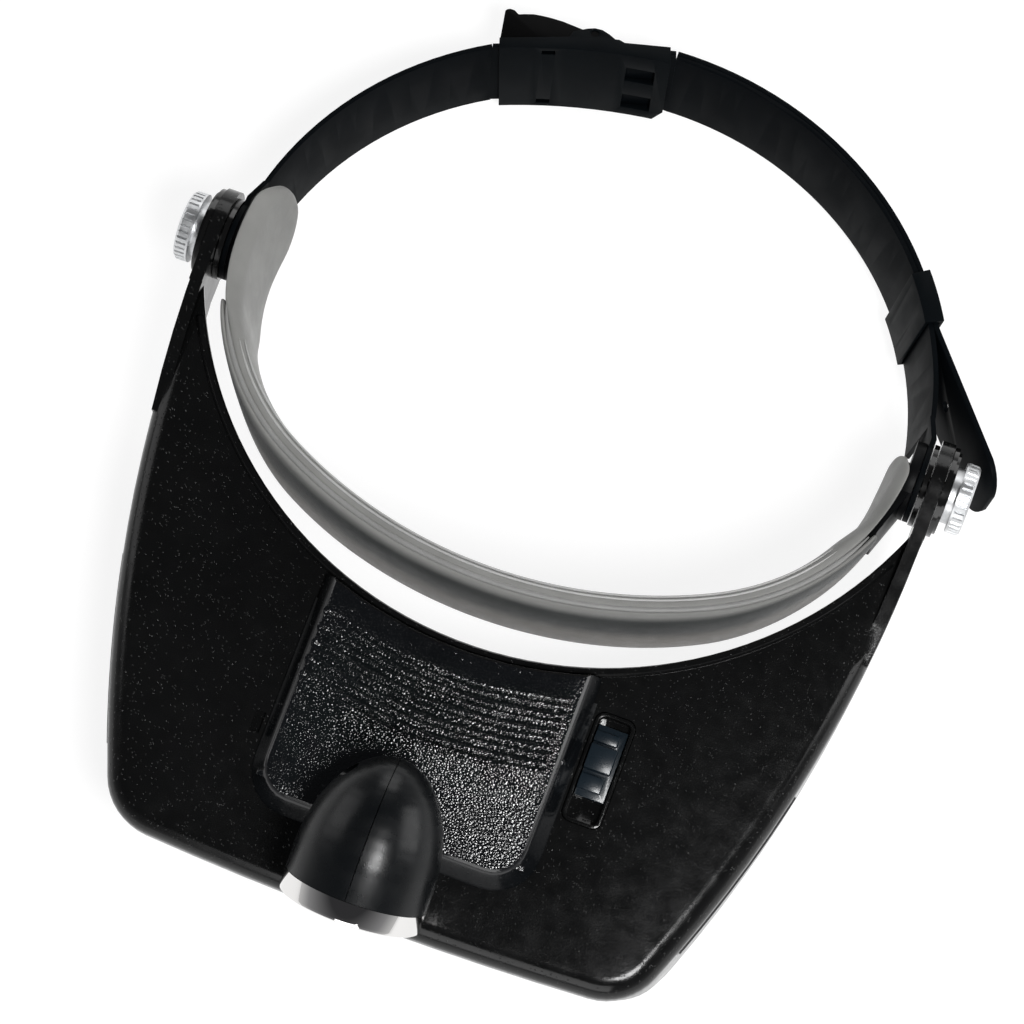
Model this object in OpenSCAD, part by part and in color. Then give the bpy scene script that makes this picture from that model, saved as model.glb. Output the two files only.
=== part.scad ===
// Lighted headband magnifier: a flip-up visor with a battery lamp and a lens plate,
// hung on two thumb knobs from an adjustable headband. Millimetres, +Z up, front towards -Y.
// It stands as a tent: the visor on its lower rims, the headband on its rear edge.

/* [Headband] */
// Half width of the head opening at the temples
head_half_w = 82; // [80:1:86]
// Depth of the head opening from the temples to the forehead
forehead_depth = 64; // [62:1:70]
// Radius of the headband's temple curves
temple_r = 58; // [54:1:60]
// Height of the rear straps
strap_h = 20; // [18:1:24]
// Thickness of the strap and band plastic
strap_t = 1.2; // [1:0.1:2]
// Outward lean of the straps going up, in degrees
strap_lean = 7.9; // [4:0.5:10]
// How far the straps' lower edge lies below the pivot
strap_drop = 15.2; // [13:0.2:17]
// Tilt of the headband, rear edge down, in degrees
band_tilt = 13; // [9:1:16]
// Height of the band under the forehead pad
front_band_h = 19; // [16:1:21]
// Length of the strap's free tail
tail_len = 43; // [30:1:46]
// Outward bend of the free tail, in degrees
tail_flare = 12; // [9:0.5:15]
// Direction of the strap keeper round the head, in degrees from the right temple
keeper_angle = 31.5; // [30:0.5:45]
// Width of the strap keeper
keeper_w = 13; // [9:1:16]

/* [Forehead pad] */
// Height of the pad
pad_h = 25.6; // [24:0.4:30]
// Depth of the cushion that faces the head
cushion_d = 3.8; // [2.4:0.2:5]
// Depth of the cover on the pad's outer face
cover_d = 3; // [2:0.2:4]
// Thickness of the pad's side wings
wing_t = 1.8; // [1.2:0.2:2.6]
// Extra lean of the left wing, in degrees
left_wing_lean = 5; // [0:1:12]

/* [Buckle] */
// Length of the buckle along the strap
buckle_l = 42; // [38:1:46]
// Place of the buckle round the head, in degrees from the right temple
buckle_angle = 108; // [100:0.5:112]
// Wall of the buckle above and below the strap
buckle_wall = 1; // [0.8:0.1:2]
// Height of the lever's raised tip above the strap
lever_h = 9; // [8:0.5:12]
// Diameter of the lever's pin
lever_pin_d = 2; // [1.6:0.1:2.4]

/* [Pivot] */
// Diameter of the pivot bolts
bolt_d = 5; // [4:0.2:6]
// Radius of the visor's round arm ends
arm_r = 11.5; // [11:0.5:14]
// Thickness of the visor's arms
arm_t = 3.2; // [2.4:0.2:3.6]
// Knurled diameter of a thumb knob
knob_d = 17; // [15:0.5:20]
// Length of the knurled rim
knurl_l = 3.4; // [3:0.2:5]
// Length of the knob's smooth neck
neck_l = 1.8; // [1.6:0.1:3]
// Number of knurl grooves on a knob
knurl_n = 36; // [24:2:44]

/* [Visor] */
// Room between the head opening and the visor's outer face at the pivots
visor_room = 9.2; // [9.2:0.2:11]
// Depth of the visor's top from the cut-out for the forehead to the front edge
top_depth = 68; // [66:0.5:74]
// How far the front edge bows forwards between its corners
front_bow = 3.2; // [0.5:0.1:4]
// Radius of the bowed sides
side_r = 322; // [300:2:360]
// Radius of the front corners seen from above
corner_r = 15; // [13:0.5:18]
// Radius of the edge all round the top
edge_r = 5; // [3.5:0.5:5.5]
// Wall of the visor
visor_wall = 2.2; // [1.8:0.1:2.6]
// Radius of the cut-out for the forehead
brow_r = 95; // [92:0.5:98]
// Gap between the headband's front and the cut-out
brow_gap = 9; // [8:0.5:12]
// Height of the visor's top above the pivot
top_rise = 6; // [5:0.5:8]
// Rake of the lens, top edge forward, in degrees
lens_rake = 20; // [14:1:24]
// Thickness of the lens plate
lens_t = 3; // [2:0.2:3.6]

/* [Battery cover] */
// Half width of the cover at its foot
cover_half_w = 35; // [34.5:0.25:35.5]
// Height of the cover above the visor's top
cover_h = 7; // [6.8:0.2:9]
// Diameter of a battery cell
cell_d = 10.5; // [10:0.1:10.5]
// Length of a battery cell
cell_l = 44.5; // [42:0.5:45]
// Number of grip ribs
rib_n = 5; // [3:1:5]
// Spacing of the grip ribs
rib_pitch = 3.8; // [3.2:0.1:4]
// Travel of the cover before it lifts off
cover_travel = 5; // [4:0.5:5.5]

/* [Lamp] */
// Diameter of the lamp
lamp_d = 33; // [31:0.5:33]
// Length of the lamp's chrome ring
ring_l = 5; // [4:0.2:6.4]
// Length of the lamp's rounded tail
bullet_l = 25.8; // [25:0.4:29]
// Downward tilt of the lamp, in degrees
lamp_tilt = 17; // [15:1:20]
// Distance of the lamp's middle to the left of the visor's
lamp_left = 2; // [0:0.5:6]
// Diameter of the lamp's pivot pin
lamp_pin_d = 2.5; // [2:0.1:3]

/* [Hidden] */
$fn = 64;

// Running clearance on a bolt or pin, and the gap between parts that only lie close
run_gap = 0.05;
gap = 0.3;
face_gap = 0.2;

// Headband outline: a round rear, two temple curves and a forehead curve that run on tangent.
// A place on it is given by the direction of its outward normal, 0 at the right temple, 90 at the rear.
front_r = (pow(head_half_w - temple_r, 2) + pow(forehead_depth, 2) - pow(temple_r, 2))
  / (2 * (forehead_depth - temple_r));
temple_x = head_half_w - temple_r;
front_y = front_r - forehead_depth;
split = atan2(front_y, temple_x);
ARCS = [[[0, 0], head_half_w, 0, 180], [[-temple_x, 0], temple_r, 180, 180 + split],
  [[0, front_y], front_r, 180 + split, 360 - split], [[temple_x, 0], temple_r, 360 - split, 360],
  [[0, 0], head_half_w, 360, 540]];
lean = tan(strap_lean);
strap_z0 = -strap_drop;
strap_z1 = strap_z0 + strap_h;
layer_gap = 0.1;
long_o = strap_t + layer_gap;
visor_half_w = head_half_w + visor_room;
brow_depth = forehead_depth + brow_gap;
visor_reach = brow_depth + top_depth;

// Middle of the band inside the forehead pad, as an offset from the outline
mid_o = -2.2;
band_o = mid_o - strap_t / 2;
band_z1 = front_band_h / 2;
band_z0 = -front_band_h / 2;

// Pivot stack, outwards from the head, along the pivot axis
head_t = 1.2;
head_r = bolt_d * 0.8;
eye_r = 9.5;
arm_x0 = visor_half_w - arm_t;
washer_t = 1.2;
inner_x0 = arm_x0 - face_gap - washer_t;
eye_x1 = inner_x0 - face_gap;
eye_x0 = eye_x1 - strap_t - 0.1;
ear_x1 = eye_x0 - face_gap;
ear_x0 = ear_x1 - 2 * strap_t;
head_x0 = ear_x0 - 0.1 - head_t;
outer_washer_t = 1.8;
outer_x0 = visor_half_w + face_gap;
outer_washer_r = 11;
neck_x0 = outer_x0 + outer_washer_t + face_gap;
neck_r = knob_d * 0.4;
knurl_x0 = neck_x0 + neck_l;
knob_x1 = knurl_x0 + knurl_l;
bolt_x1 = knob_x1 - 1.4;
bore_r = bolt_d / 2 + run_gap;

// Buckle: its frame stands on the strap's mid height, x away from the head, y towards the left
buckle_z = (strap_z0 + strap_z1) / 2;
buckle_r = head_half_w + (buckle_z - strap_z0) * lean;
strap_half = strap_h / 2 / cos(strap_lean);
buckle_half_h = strap_half + face_gap + buckle_wall;
cheek_z0 = buckle_half_h - buckle_wall - 0.2;
// Inside the buckle the straps run nearly straight, on a chord with a slight bend at its middle
chord = buckle_l / 2 + 1.5;
chord_a = asin(chord / buckle_r);
chord_x = buckle_r * (1 - cos(chord_a));
chord_bow = chord_x / 2;
function chord_at(y) = -chord_x + chord_bow * (1 - abs(y) / chord);
function long_in(y) = chord_at(y) + long_o * (0.5 - y / 2 / chord);
function short_in(y) = long_in(y) - long_o;
function case_out(y) = long_in(y) + strap_t + face_gap + 0.7;
bend_r = 3 * buckle_l;
function case_in(y) = short_in(0) - 0.85 - pow(y - buckle_l / 9, 2) / (2 * bend_r);
lever_pin_y = -2.4;
lever_pin_x = long_in(lever_pin_y) + strap_t + 2.1;
cam_r = 1.7;
// Plan of the two cheeks that hold the lever's pin, as places beside the pin
CHEEK = [[-lever_pin_x - 1, 7], [0.2, 5.4], [1.4, 2], [cam_r, 0], [1.3, -1.8], [0, -3.6], [-1.6, -5.2],
  [-lever_pin_x - 1, -6.6]];
lever_y1 = buckle_l / 2 - 0.1;
lever_x1 = long_in(lever_y1) + strap_t + 0.5;
tip_x = lever_x1 + lever_h + 2;

// Strap keeper and free tail
keeper_half = keeper_w / 2 / head_half_w * 180 / PI;
tail_angle = keeper_angle - keeper_half - 1;
tail_dir = tail_angle + tail_flare;

// Where the pivot axis lies: the buckle's lowest corner touches the ground, and the origin is
// under the middle of the whole object
function tilted(p) = [p.x, p.y * cos(band_tilt) + p.z * sin(band_tilt),
  p.z * cos(band_tilt) - p.y * sin(band_tilt)];
function buckle_point(q) = let (rad = buckle_r + q.x * cos(strap_lean) + q.z * sin(strap_lean))
  [rad * cos(buckle_angle) - q.y * sin(buckle_angle), rad * sin(buckle_angle) + q.y * cos(buckle_angle),
   buckle_z + q.z * cos(strap_lean) - q.x * sin(strap_lean)];
buckle_corners = [for (q = concat([for (c = CHEEK) [lever_pin_x + c.x, lever_pin_y + c.y]],
    [[long_in(2.4 - buckle_l / 2) + strap_t + 0.1, 2.4 - buckle_l / 2], [case_out(0), 0],
      [tip_x, lever_y1 - 2.5]]))
  tilted(buckle_point([q.x, q.y, -(q.x == tip_x ? cheek_z0 - gap : buckle_half_h)]))];
pivot_z = -min([for (p = buckle_corners) p.z]);
strap_back = tilted([0, head_half_w + long_o + strap_t + strap_h * lean, strap_z1]);
rear_reach = max(concat([strap_back.y], [for (p = buckle_corners) p.y]));
tail_reach = (head_half_w + long_o + strap_t + strap_h * lean) * cos(tail_angle) + tail_len * sin(tail_dir);
lamp_front = visor_reach + 0.1;
lamp_r = lamp_d / 2;
front_reach = lamp_front + lamp_r * sin(lamp_tilt);
pivot_x = (knob_x1 - tail_reach) / 2;
pivot_y = (front_reach - rear_reach) / 2;

// Visor heights and the walls inside it
top_z = pivot_z + top_rise;
under_z = top_z - visor_wall;
lens_top_z = top_z - 8;
foot_l = 64;
foot_y1 = -visor_reach + foot_l;

// Battery bay: the cells lie side by side under the cover
cover_x = -1.5;
cover_t = 1.6;
cover_top_half = cover_half_w - 3.5;
cover_y0 = -visor_reach + 16;
cover_r = 11;
bead_w = 2.2;
bead_h = 1.4;
cover_brow_r = brow_r + bead_w + 0.6;
brow_y = brow_r - brow_depth;
cell_gap = 0.5;
tray_t = 1.5;
spring_l = 6.5;
plate_t = 0.5;
tray_x = (cell_l + spring_l) / 2 + plate_t + tray_t;
tray_y = (cover_y0 - brow_depth) / 2 + 1.25;
tray_half_y = cell_d + 1.5 * cell_gap + tray_t;
cell_z = top_z + cover_h - cover_t - cell_gap - cell_d / 2;
tray_floor = cell_z - cell_d / 2 - cell_gap / 2;
tray_z0 = tray_floor - tray_t;

// Switch beside the cover
switch_x = cover_x + cover_half_w + 5.4;
switch_w = 9.6;
switch_l = 26.5;
switch_y = -brow_depth - 4 - switch_l / 2;
slider_w = 7.2;
slider_l = 14;
slider_travel = 4;

// Lamp frame: its z runs back along the lamp's axis from the ring's front face
lamp_x = -lamp_left;
lamp_front_z = top_z + lamp_r * cos(lamp_tilt) + 1.6;
lamp_body_l = 5.2;
lamp_l = ring_l + lamp_body_l + bullet_l;
lamp_wall = 1.8;
pin_at = [10, lamp_r * 0.74];
lamp_pin_y = -lamp_front + pin_at.x * cos(lamp_tilt) + pin_at.y * sin(lamp_tilt);
lamp_pin_z = lamp_front_z + pin_at.x * sin(lamp_tilt) - pin_at.y * cos(lamp_tilt);
lamp_base_y = [lamp_pin_y - 6.2, lamp_pin_y + 2.6];
knuckle_r = lamp_pin_d / 2 + 1.9;
knuckle_w = 7;

module in_band() translate([pivot_x, pivot_y, pivot_z]) rotate([-band_tilt, 0, 0]) children();
module in_visor() translate([pivot_x, pivot_y, 0]) children();
module in_buckle() in_band() rotate([0, 0, buckle_angle]) translate([buckle_r, 0, buckle_z])
  rotate([0, strap_lean, 0]) children();
module in_lamp() in_visor() translate([lamp_x, -lamp_front, lamp_front_z]) rotate([lamp_tilt, 0, 0])
  rotate([-90, 0, 0]) children();
module both_sides() { children(); mirror([1, 0, 0]) children(); }
module along_x(x0, x1, r) translate([x0, 0, 0]) rotate([0, 90, 0]) cylinder(h = x1 - x0, r = r);

// A leaning ribbon along the outline, from offset o outwards, between two heights
module ribbon(from, to, o, t, z0, z1) {
  for (a = ARCS) {
    lo = max(from, a[2] == 180 + split || a[2] == 360 - split ? a[2] + 0.04 : a[2]);
    hi = min(to, a[3]);
    if (hi > lo) translate([a[0].x, a[0].y, 0]) rotate([0, 0, lo])
      rotate_extrude(angle = hi - lo, $fn = 180) ribbon_section(a[1] + o, t, z0, z1);
  }
}
// A short splice over the seam between two curves of the band
module splice(th, o, t, z0, z1) translate([arc_c(th).x, arc_c(th).y, 0]) rotate([0, 0, th]) rotate([90, 0, 0])
  translate([0, 0, -1.5]) linear_extrude(height = 3) intersection() {
    ribbon_section(arc_r(th) + o - 0.06, t + 0.12, z0 - 1, z1 + 1);
    translate([0, z0 + 0.05]) square([2 * head_half_w, z1 - z0 - 0.1]);
  }
module ribbon_section(r, t, z0, z1) {
  r0 = r + (z0 - strap_z0) * lean;
  r1 = r + (z1 - strap_z0) * lean;
  polygon([[r0, z0], [r0 + t, z0], [r1 + t, z1], [r1, z1]]);
}

// A closed skin over rings of points, each ring with the same number of points
module skin(rings) {
  n = len(rings[0]);
  m = len(rings);
  polyhedron(points = [for (r = rings) each r],
    faces = concat([[for (k = [0 : n - 1]) n - 1 - k]], [[for (k = [0 : n - 1]) (m - 1) * n + k]],
      [for (i = [0 : m - 2]) for (k = [0 : n - 1]) let (j = (k + 1) % n)
        each [[i * n + k, (i + 1) * n + j, (i + 1) * n + k], [i * n + k, i * n + j, (i + 1) * n + j]]]));
}
function arc_points(c, r, a0, a1, n) = [for (i = [0 : n]) let (a = a0 + (a1 - a0) * i / n)
  [c.x + r * cos(a), c.y + r * sin(a)]];

// Front band: the ribbon that carries the pad, with a round ear at each pivot
ear_a = 17;
ear_end = [temple_x + (temple_r + band_o + strap_drop * lean) * cos(ear_a) + 0.1, -temple_r * sin(ear_a)];
module front_band() color([0.03, 0.03, 0.035]) in_band() difference() {
  union() {
    ribbon(180 + ear_a, 360 - ear_a, band_o, strap_t, band_z0, band_z1);
    for (th = [180 + split, 360 - split]) splice(th, band_o, strap_t, band_z0, band_z1);
    both_sides() along_x(ear_x0, ear_x1, eye_r);
    both_sides() linear_extrude(height = eye_r * 1.46, center = true) polygon([[ear_x0, -head_r - 1], [ear_x1, -head_r - 1],
      [ear_end.x + strap_t + 0.3, ear_end.y - 1.5], [ear_end.x, ear_end.y - 1.5], [ear_end.x, ear_end.y]]);
  }
  both_sides() along_x(ear_x0 - 5, ear_x1 + 1, bore_r);
}

// Pad sections: offset and height pairs, with a recess for the band
wing_o = head_x0 - gap - (head_r - strap_z0) * lean - head_half_w;
left_wing_end = 168;
right_wing_end = 363;
body_from = 203;
body_to = 337;
blend_deg = 9;
pad_half = pad_h / 2;
function smooth(t) = let (u = min(1, max(0, t))) u * u * (3 - 2 * u);
function bodiness(th) = smooth((th - body_from) / blend_deg + 0.5) * smooth((body_to - th) / blend_deg + 0.5);
function end_taper(th) = let (e = min(th - left_wing_end, right_wing_end - th) / 8,
  u = 1 - min(1, max(0.04, e))) sqrt(1 - u * u);
function mix(a, b, w) = a + (b - a) * w;
function wing_lean(th) = (th < 270 ? left_wing_lean : 0) * (1 - bodiness(th));
// The wings' upper edge curls outwards over the pivots
function curl(th) = (th < 270 ? 0.9 : 0.5) * (1 - bodiness(th));
function pad_point(th, o, z, extra, curled) = let (p = arc_c(th) + (arc_r(th) + o + (z - strap_z0) * lean
  + min(0, z - band_z1) * tan(extra) + max(0, z - band_z1 - gap) * curled) * [cos(th), sin(th)]) [p.x, p.y, z];
function arc_of(th) = [for (a = ARCS) if (th >= a[2] && th <= a[3]) a][0];
function arc_c(th) = arc_of(th)[0];
function arc_r(th) = arc_of(th)[1];
crown_n = 9;
function cushion_ring(th) = let (w = bodiness(th), h = pad_half * mix(0.96, 1, w) * end_taper(th),
    face = mix(wing_o, mid_o - 0.1, w), deep = mix(wing_o, band_o - gap / 2, w),
    d = mix(wing_t, cushion_d, w), rz = min(band_z1 + gap, h - 0.6 * end_taper(th)))
  [for (q = concat([[face, -h + 0.4 * end_taper(th)], [face, -rz], [deep, -rz + 0.05], [deep, 0],
      [deep, rz - 0.05], [face, rz], [face, h - 0.4 * end_taper(th)]],
      [for (i = [0 : crown_n]) let (a = 90 - 180 * i / crown_n)
        [deep - 0.2 - d * pow(cos(a), 0.55), h * sign(sin(a)) * pow(abs(sin(a)), 0.8)]]))
    pad_point(th, q[0], q[1], wing_lean(th), curl(th))];
pad_steps = 62;
module forehead_pad() color([0.55, 0.55, 0.54]) in_band() skin([for (i = [0 : pad_steps])
  cushion_ring(mix(left_wing_end + 0.2, right_wing_end - 0.2, i / pad_steps))]);

// Cover on the pad's outer face, crowned, drawn in to a thin edge at both ends
cover_from = body_from - 4;
cover_to = body_to + 3;
function cover_ring(th) = let (e = min(th - cover_from, cover_to - th) / 9,
    u = 1 - min(1, max(0.05, e)), s = sqrt(1 - u * u), h = pad_half * mix(0.8, 1, s),
    deep = band_o + strap_t + gap / 2, face = mix(deep, mid_o + 0.1, s),
    d = mix(0.9, mix(1, cover_d, smooth((min(th - cover_from, cover_to - th) - 14) / 40)), s),
    rz = min(band_z1 + gap, h - 0.6))
  [for (q = concat([[face, h - 0.4], [face, rz], [deep, rz - 0.05], [deep, 0], [deep, -rz + 0.05],
      [face, -rz], [face, -h + 0.4]],
      [for (i = [0 : crown_n]) let (a = -90 + 180 * i / crown_n)
        [deep + 0.2 + d * pow(cos(a), 0.6), h * sign(sin(a)) * pow(abs(sin(a)), 0.85)]]))
    pad_point(th, q[0], q[1], 0, 0)];
cover_steps = 52;
module pad_cover() color([0.25, 0.26, 0.26]) in_band()
  skin([for (i = [0 : cover_steps]) cover_ring(mix(cover_from, cover_to, i / cover_steps))]);

// Long strap: from the left pivot round the rear, through buckle and keeper, to its free tail
strap_start = 9;
module strap_eye(neck_in) difference() {
  union() {
    along_x(eye_x0, eye_x1, eye_r);
    linear_extrude(height = strap_h * 0.7, center = true)
      polygon([[eye_x0, 3], [eye_x1, 3], [eye_x1, eye_r - 0.5],
        [neck_in + strap_t, head_half_w * sin(strap_start) + 1.5],
        [neck_in, head_half_w * sin(strap_start) + 1.5], [eye_x0, eye_r - 0.5]]);
  }
  along_x(eye_x0 - 1, eye_x1 + 1, bore_r);
}
// The straight run of a strap through the buckle: inner edge as a list of places, thickness outwards
module chord_run(inner) in_buckle_here() linear_extrude(height = 2 * strap_half - 0.04, center = true)
  polygon(concat(inner, [for (i = [len(inner) - 1 : -1 : 0]) [inner[i].x + strap_t, inner[i].y]]));
module in_buckle_here() rotate([0, 0, buckle_angle]) translate([buckle_r, 0, buckle_z])
  rotate([0, strap_lean, 0]) children();
chord_lap = 0.3;
tail_corner = 8;
module corner_cut() polygon(concat([[-1, tail_corner + 0.6], [-1, -1], [tail_corner + 0.6, -1]],
  arc_points([tail_corner, tail_corner], tail_corner + 0.1, 270, 180, 8)));
module strap_tail() rotate([0, 0, tail_angle]) translate([head_half_w + long_o, 0, 0])
  rotate([0, 0, tail_flare])
  difference() {
    rotate([90, 0, 0]) translate([0, 0, -0.3]) linear_extrude(height = tail_len + 0.3)
      ribbon_section(0.02 * lean, strap_t, strap_z0 + 0.02, strap_z1 - 0.02);
    for (e = [0, 1]) translate([-2, -tail_len, e == 0 ? strap_z0 : strap_z1]) mirror([0, 0, e])
      rotate([90, 0, 90]) linear_extrude(height = strap_h) corner_cut();
    translate([-1, -tail_len * 0.38, buckle_z]) rotate([0, 90, 0]) cylinder(h = strap_h, r = 1.4);
  }
module long_strap() color([0.08, 0.09, 0.105]) in_band() union() {
  ribbon(tail_angle, buckle_angle - chord_a + chord_lap, long_o, strap_t, strap_z0, strap_z1);
  ribbon(buckle_angle + chord_a - chord_lap, 180 - strap_start, 0, strap_t, strap_z0, strap_z1);
  chord_run([for (y = [-chord, 0, chord]) [long_in(y), y]]);
  mirror([1, 0, 0]) strap_eye(head_half_w * cos(strap_start) + strap_drop * lean);
  strap_tail();
}
// Short strap: from the right pivot into the buckle's right end, under the long strap
short_y = -3;
module short_strap() color([0.08, 0.09, 0.105]) in_band() union() {
  ribbon(strap_start, buckle_angle - chord_a + chord_lap, 0, strap_t, strap_z0, strap_z1);
  chord_run([for (y = [-chord, short_y]) [short_in(y), y]]);
  strap_eye(head_half_w * cos(strap_start) + strap_drop * lean);
}
// Keeper: a loop round both straps that slides along them
keeper_wall = 0.9;
module keeper_section(grow) {
  z0 = strap_z0 - gap - grow;
  z1 = strap_z1 + gap + grow;
  r0 = head_half_w - face_gap - grow;
  r1 = head_half_w + long_o + strap_t + face_gap + grow;
  polygon([[r0 + (z0 - strap_z0) * lean, z0], [r1 + (z0 - strap_z0) * lean, z0],
    [r1 + (z1 - strap_z0) * lean, z1], [r0 + (z1 - strap_z0) * lean, z1]]);
}
module strap_keeper() color([0.07, 0.08, 0.095]) in_band() rotate([0, 0, keeper_angle - keeper_half])
  rotate_extrude(angle = 2 * keeper_half, $fn = 180) difference() {
    keeper_section(keeper_wall);
    keeper_section(0);
  }

// Buckle body: a gently bent case behind the straps, open under the lever, with two cheeks for its pin
// and a bridge over the straps beside them
bridge_y = -buckle_l * 0.2;
case_ys = [for (i = [0 : 10]) buckle_l * (i / 10 - 0.5)];
module buckle_body() color([0.05, 0.06, 0.07]) in_buckle() difference() {
  union() {
    intersection() {
      translate([0, 0, -buckle_half_h]) linear_extrude(height = 2 * buckle_half_h)
        polygon(concat([for (y = case_ys) [case_in(y), y]],
          [for (y = [buckle_l / 2, 0, bridge_y]) [case_out(y), y]],
          [for (y = [bridge_y - 1.3, -buckle_l / 2]) [long_in(y) + strap_t + 0.1, y]]));
      translate([-buckle_l / 2, 0, 0]) rotate([90, 0, 90]) linear_extrude(height = buckle_l)
        polygon([[buckle_l / 2, buckle_half_h + 1], [buckle_l / 2, buckle_half_h],
          [buckle_l / 2 - 1.4, -buckle_half_h], [buckle_l / 2 - 1.4, -buckle_half_h - 1],
          [2.4 - buckle_l / 2, -buckle_half_h - 1], [2.4 - buckle_l / 2, -buckle_half_h],
          [-buckle_l / 2, 3.4 - buckle_half_h], [-buckle_l / 2, buckle_half_h + 1]]);
    }
    for (s = [-1, 1]) translate([lever_pin_x, lever_pin_y, s > 0 ? cheek_z0 : -buckle_half_h])
      linear_extrude(height = buckle_half_h - cheek_z0) polygon(CHEEK);
  }
  linear_extrude(height = 2 * (strap_half + face_gap), center = true)
    polygon([[short_in(-chord) - face_gap, -chord], [short_in(0) - face_gap, 0],
      [long_in(chord) - face_gap, chord], [long_in(chord) + strap_t + face_gap, chord],
      [long_in(0) + strap_t + face_gap, 0], [long_in(-chord) + strap_t + face_gap, -chord]]);
  translate([0, 0, -cheek_z0]) linear_extrude(height = 2 * cheek_z0)
    polygon(concat([for (y = [lever_pin_y - cam_r - 1.2, 0, chord]) [long_in(y) + strap_t, y]],
      [[lever_h + 10, chord], [lever_h + 10, lever_pin_y - cam_r - 1.2]]));
  translate([lever_pin_x, lever_pin_y, -buckle_half_h - 1])
    cylinder(h = 2 * buckle_half_h + 2, r = lever_pin_d / 2 + run_gap);
  for (z = [1.6, -8.6]) translate([case_in(-buckle_l / 3) - 2, -buckle_l * 0.42, z]) cube([4, buckle_l * 0.17, 5]);
  for (s = [-1, 1]) translate([case_in(buckle_l / 4) - 1, buckle_l * 0.17, s * (buckle_half_h - 1.9) - 0.7])
    cube([1.7, buckle_l * 0.08, 1.4]);
}
// Lever: a cam on the pin and a long thumb plate with a raised tip
module buckle_lever() color([0.03, 0.03, 0.035]) in_buckle() difference() {
  translate([0, 0, -cheek_z0 + gap]) linear_extrude(height = 2 * (cheek_z0 - gap)) polygon(concat(
    [for (a = [-180 : 15 : 0]) [lever_pin_x + cam_r * cos(a), lever_pin_y - cam_r * sin(-a)]],
    [[lever_pin_x + cam_r + 0.6, lever_pin_y + 2.8], [tip_x - 2.9, lever_y1 - 15.3], [tip_x - 2, lever_y1 - 12.3],
      [tip_x - 1.5, lever_y1 - 9.9], [tip_x - 1.25, lever_y1 - 8.2], [tip_x - 1.4, lever_y1 - 5.9],
      [tip_x - 1.6, lever_y1 - 4.5], [tip_x - 0.4, lever_y1 - 3.6], [tip_x, lever_y1 - 2.5],
      [tip_x - 0.1, lever_y1 - 1.8], [tip_x - 0.6, lever_y1 - 1.2], [lever_x1, lever_y1],
      [(lever_pin_x - cam_r + lever_x1) / 2 + 0.8, buckle_l / 4],
      [lever_pin_x - cam_r + 0.2, lever_pin_y + 4.4]]));
  translate([lever_pin_x, lever_pin_y, -cheek_z0 - 1])
    cylinder(h = 2 * cheek_z0 + 2, r = lever_pin_d / 2 + run_gap);
}
module lever_pin() color([0.6, 0.6, 0.62]) in_buckle()
  translate([lever_pin_x, lever_pin_y, -buckle_half_h + 0.3])
    cylinder(h = 2 * buckle_half_h - 0.6, r = lever_pin_d / 2);

// Pivot bolts, washers and knobs
module pivot_bolts() color([0.1, 0.1, 0.11]) in_band() both_sides() {
  along_x(head_x0, head_x0 + head_t, head_r);
  along_x(head_x0 + head_t / 2, bolt_x1, bolt_d / 2);
}
module ring_x(x0, x1, r) difference() { along_x(x0, x1, r); along_x(x0 - 1, x1 + 1, bore_r); }
module inner_washers() color([0.02, 0.02, 0.02]) in_band() both_sides()
  ring_x(inner_x0, inner_x0 + washer_t, eye_r + 0.5);
module outer_washers() color([0.02, 0.02, 0.02]) in_band() both_sides() difference() {
  union() {
    along_x(outer_x0, outer_x0 + outer_washer_t * 0.6, outer_washer_r);
    along_x(outer_x0, outer_x0 + outer_washer_t, outer_washer_r - 1);
  }
  along_x(outer_x0 - 1, outer_x0 + outer_washer_t + 1, bore_r);
}
module knob() difference() {
  union() {
    along_x(neck_x0, knurl_x0 + 0.1, neck_r);
    along_x(knurl_x0, knob_x1 - 0.6, knob_d / 2);
    translate([knob_x1 - 0.6, 0, 0]) rotate([0, 90, 0])
      cylinder(h = 0.6, r1 = knob_d / 2, r2 = knob_d / 2 - 0.6);
  }
  along_x(neck_x0 - 1, bolt_x1 + 0.2, bore_r);
  for (i = [0 : knurl_n - 1]) rotate([i * 360 / knurl_n, 0, 0])
    translate([knurl_x0 + 0.5, 0, knob_d / 2]) rotate([45, 0, 0]) translate([0, -0.23, -0.23])
      cube([knurl_l, 0.46, 0.46]);
}
module left_knob() color([0.75, 0.76, 0.78]) in_band() mirror([1, 0, 0]) knob();
module right_knob() color([0.75, 0.76, 0.78]) in_band() knob();

// Visor outline with inset d: side arcs, front corners and a bowed front, from the rear line y1
side_cx = visor_half_w - side_r;
side_cy = -8;
front_cr = (pow(visor_half_w * 0.82, 2) + pow(front_bow, 2)) / (2 * front_bow);
front_cy = front_cr - visor_reach;
// Centre of a front corner: inside both the side arc and the front arc by the corner's radius
corner_v = [-side_cx, front_cy - side_cy];
corner_s = norm(corner_v);
corner_m = (pow(side_r - corner_r, 2) - pow(front_cr - corner_r, 2) + corner_s * corner_s) / (2 * corner_s);
corner_n = sqrt(pow(side_r - corner_r, 2) - corner_m * corner_m);
fillet_cx = side_cx + (corner_v.x * corner_m + corner_v.y * corner_n) / corner_s;
fillet_cy = side_cy + (corner_v.y * corner_m - corner_v.x * corner_n) / corner_s;
fillet_a = atan2(fillet_cy - side_cy, fillet_cx - side_cx);
fillet_b = atan2(fillet_cy - front_cy, fillet_cx);
shell_y1 = -14;
function side_x(y, d) = side_cx + sqrt(pow(side_r - d, 2) - pow(y - side_cy, 2));
function wall_x(y, d) = y > fillet_cy + (corner_r - d) * sin(fillet_a) ? side_x(y, d)
  : fillet_cx + sqrt(pow(corner_r - d, 2) - pow(y - fillet_cy, 2));
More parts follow.
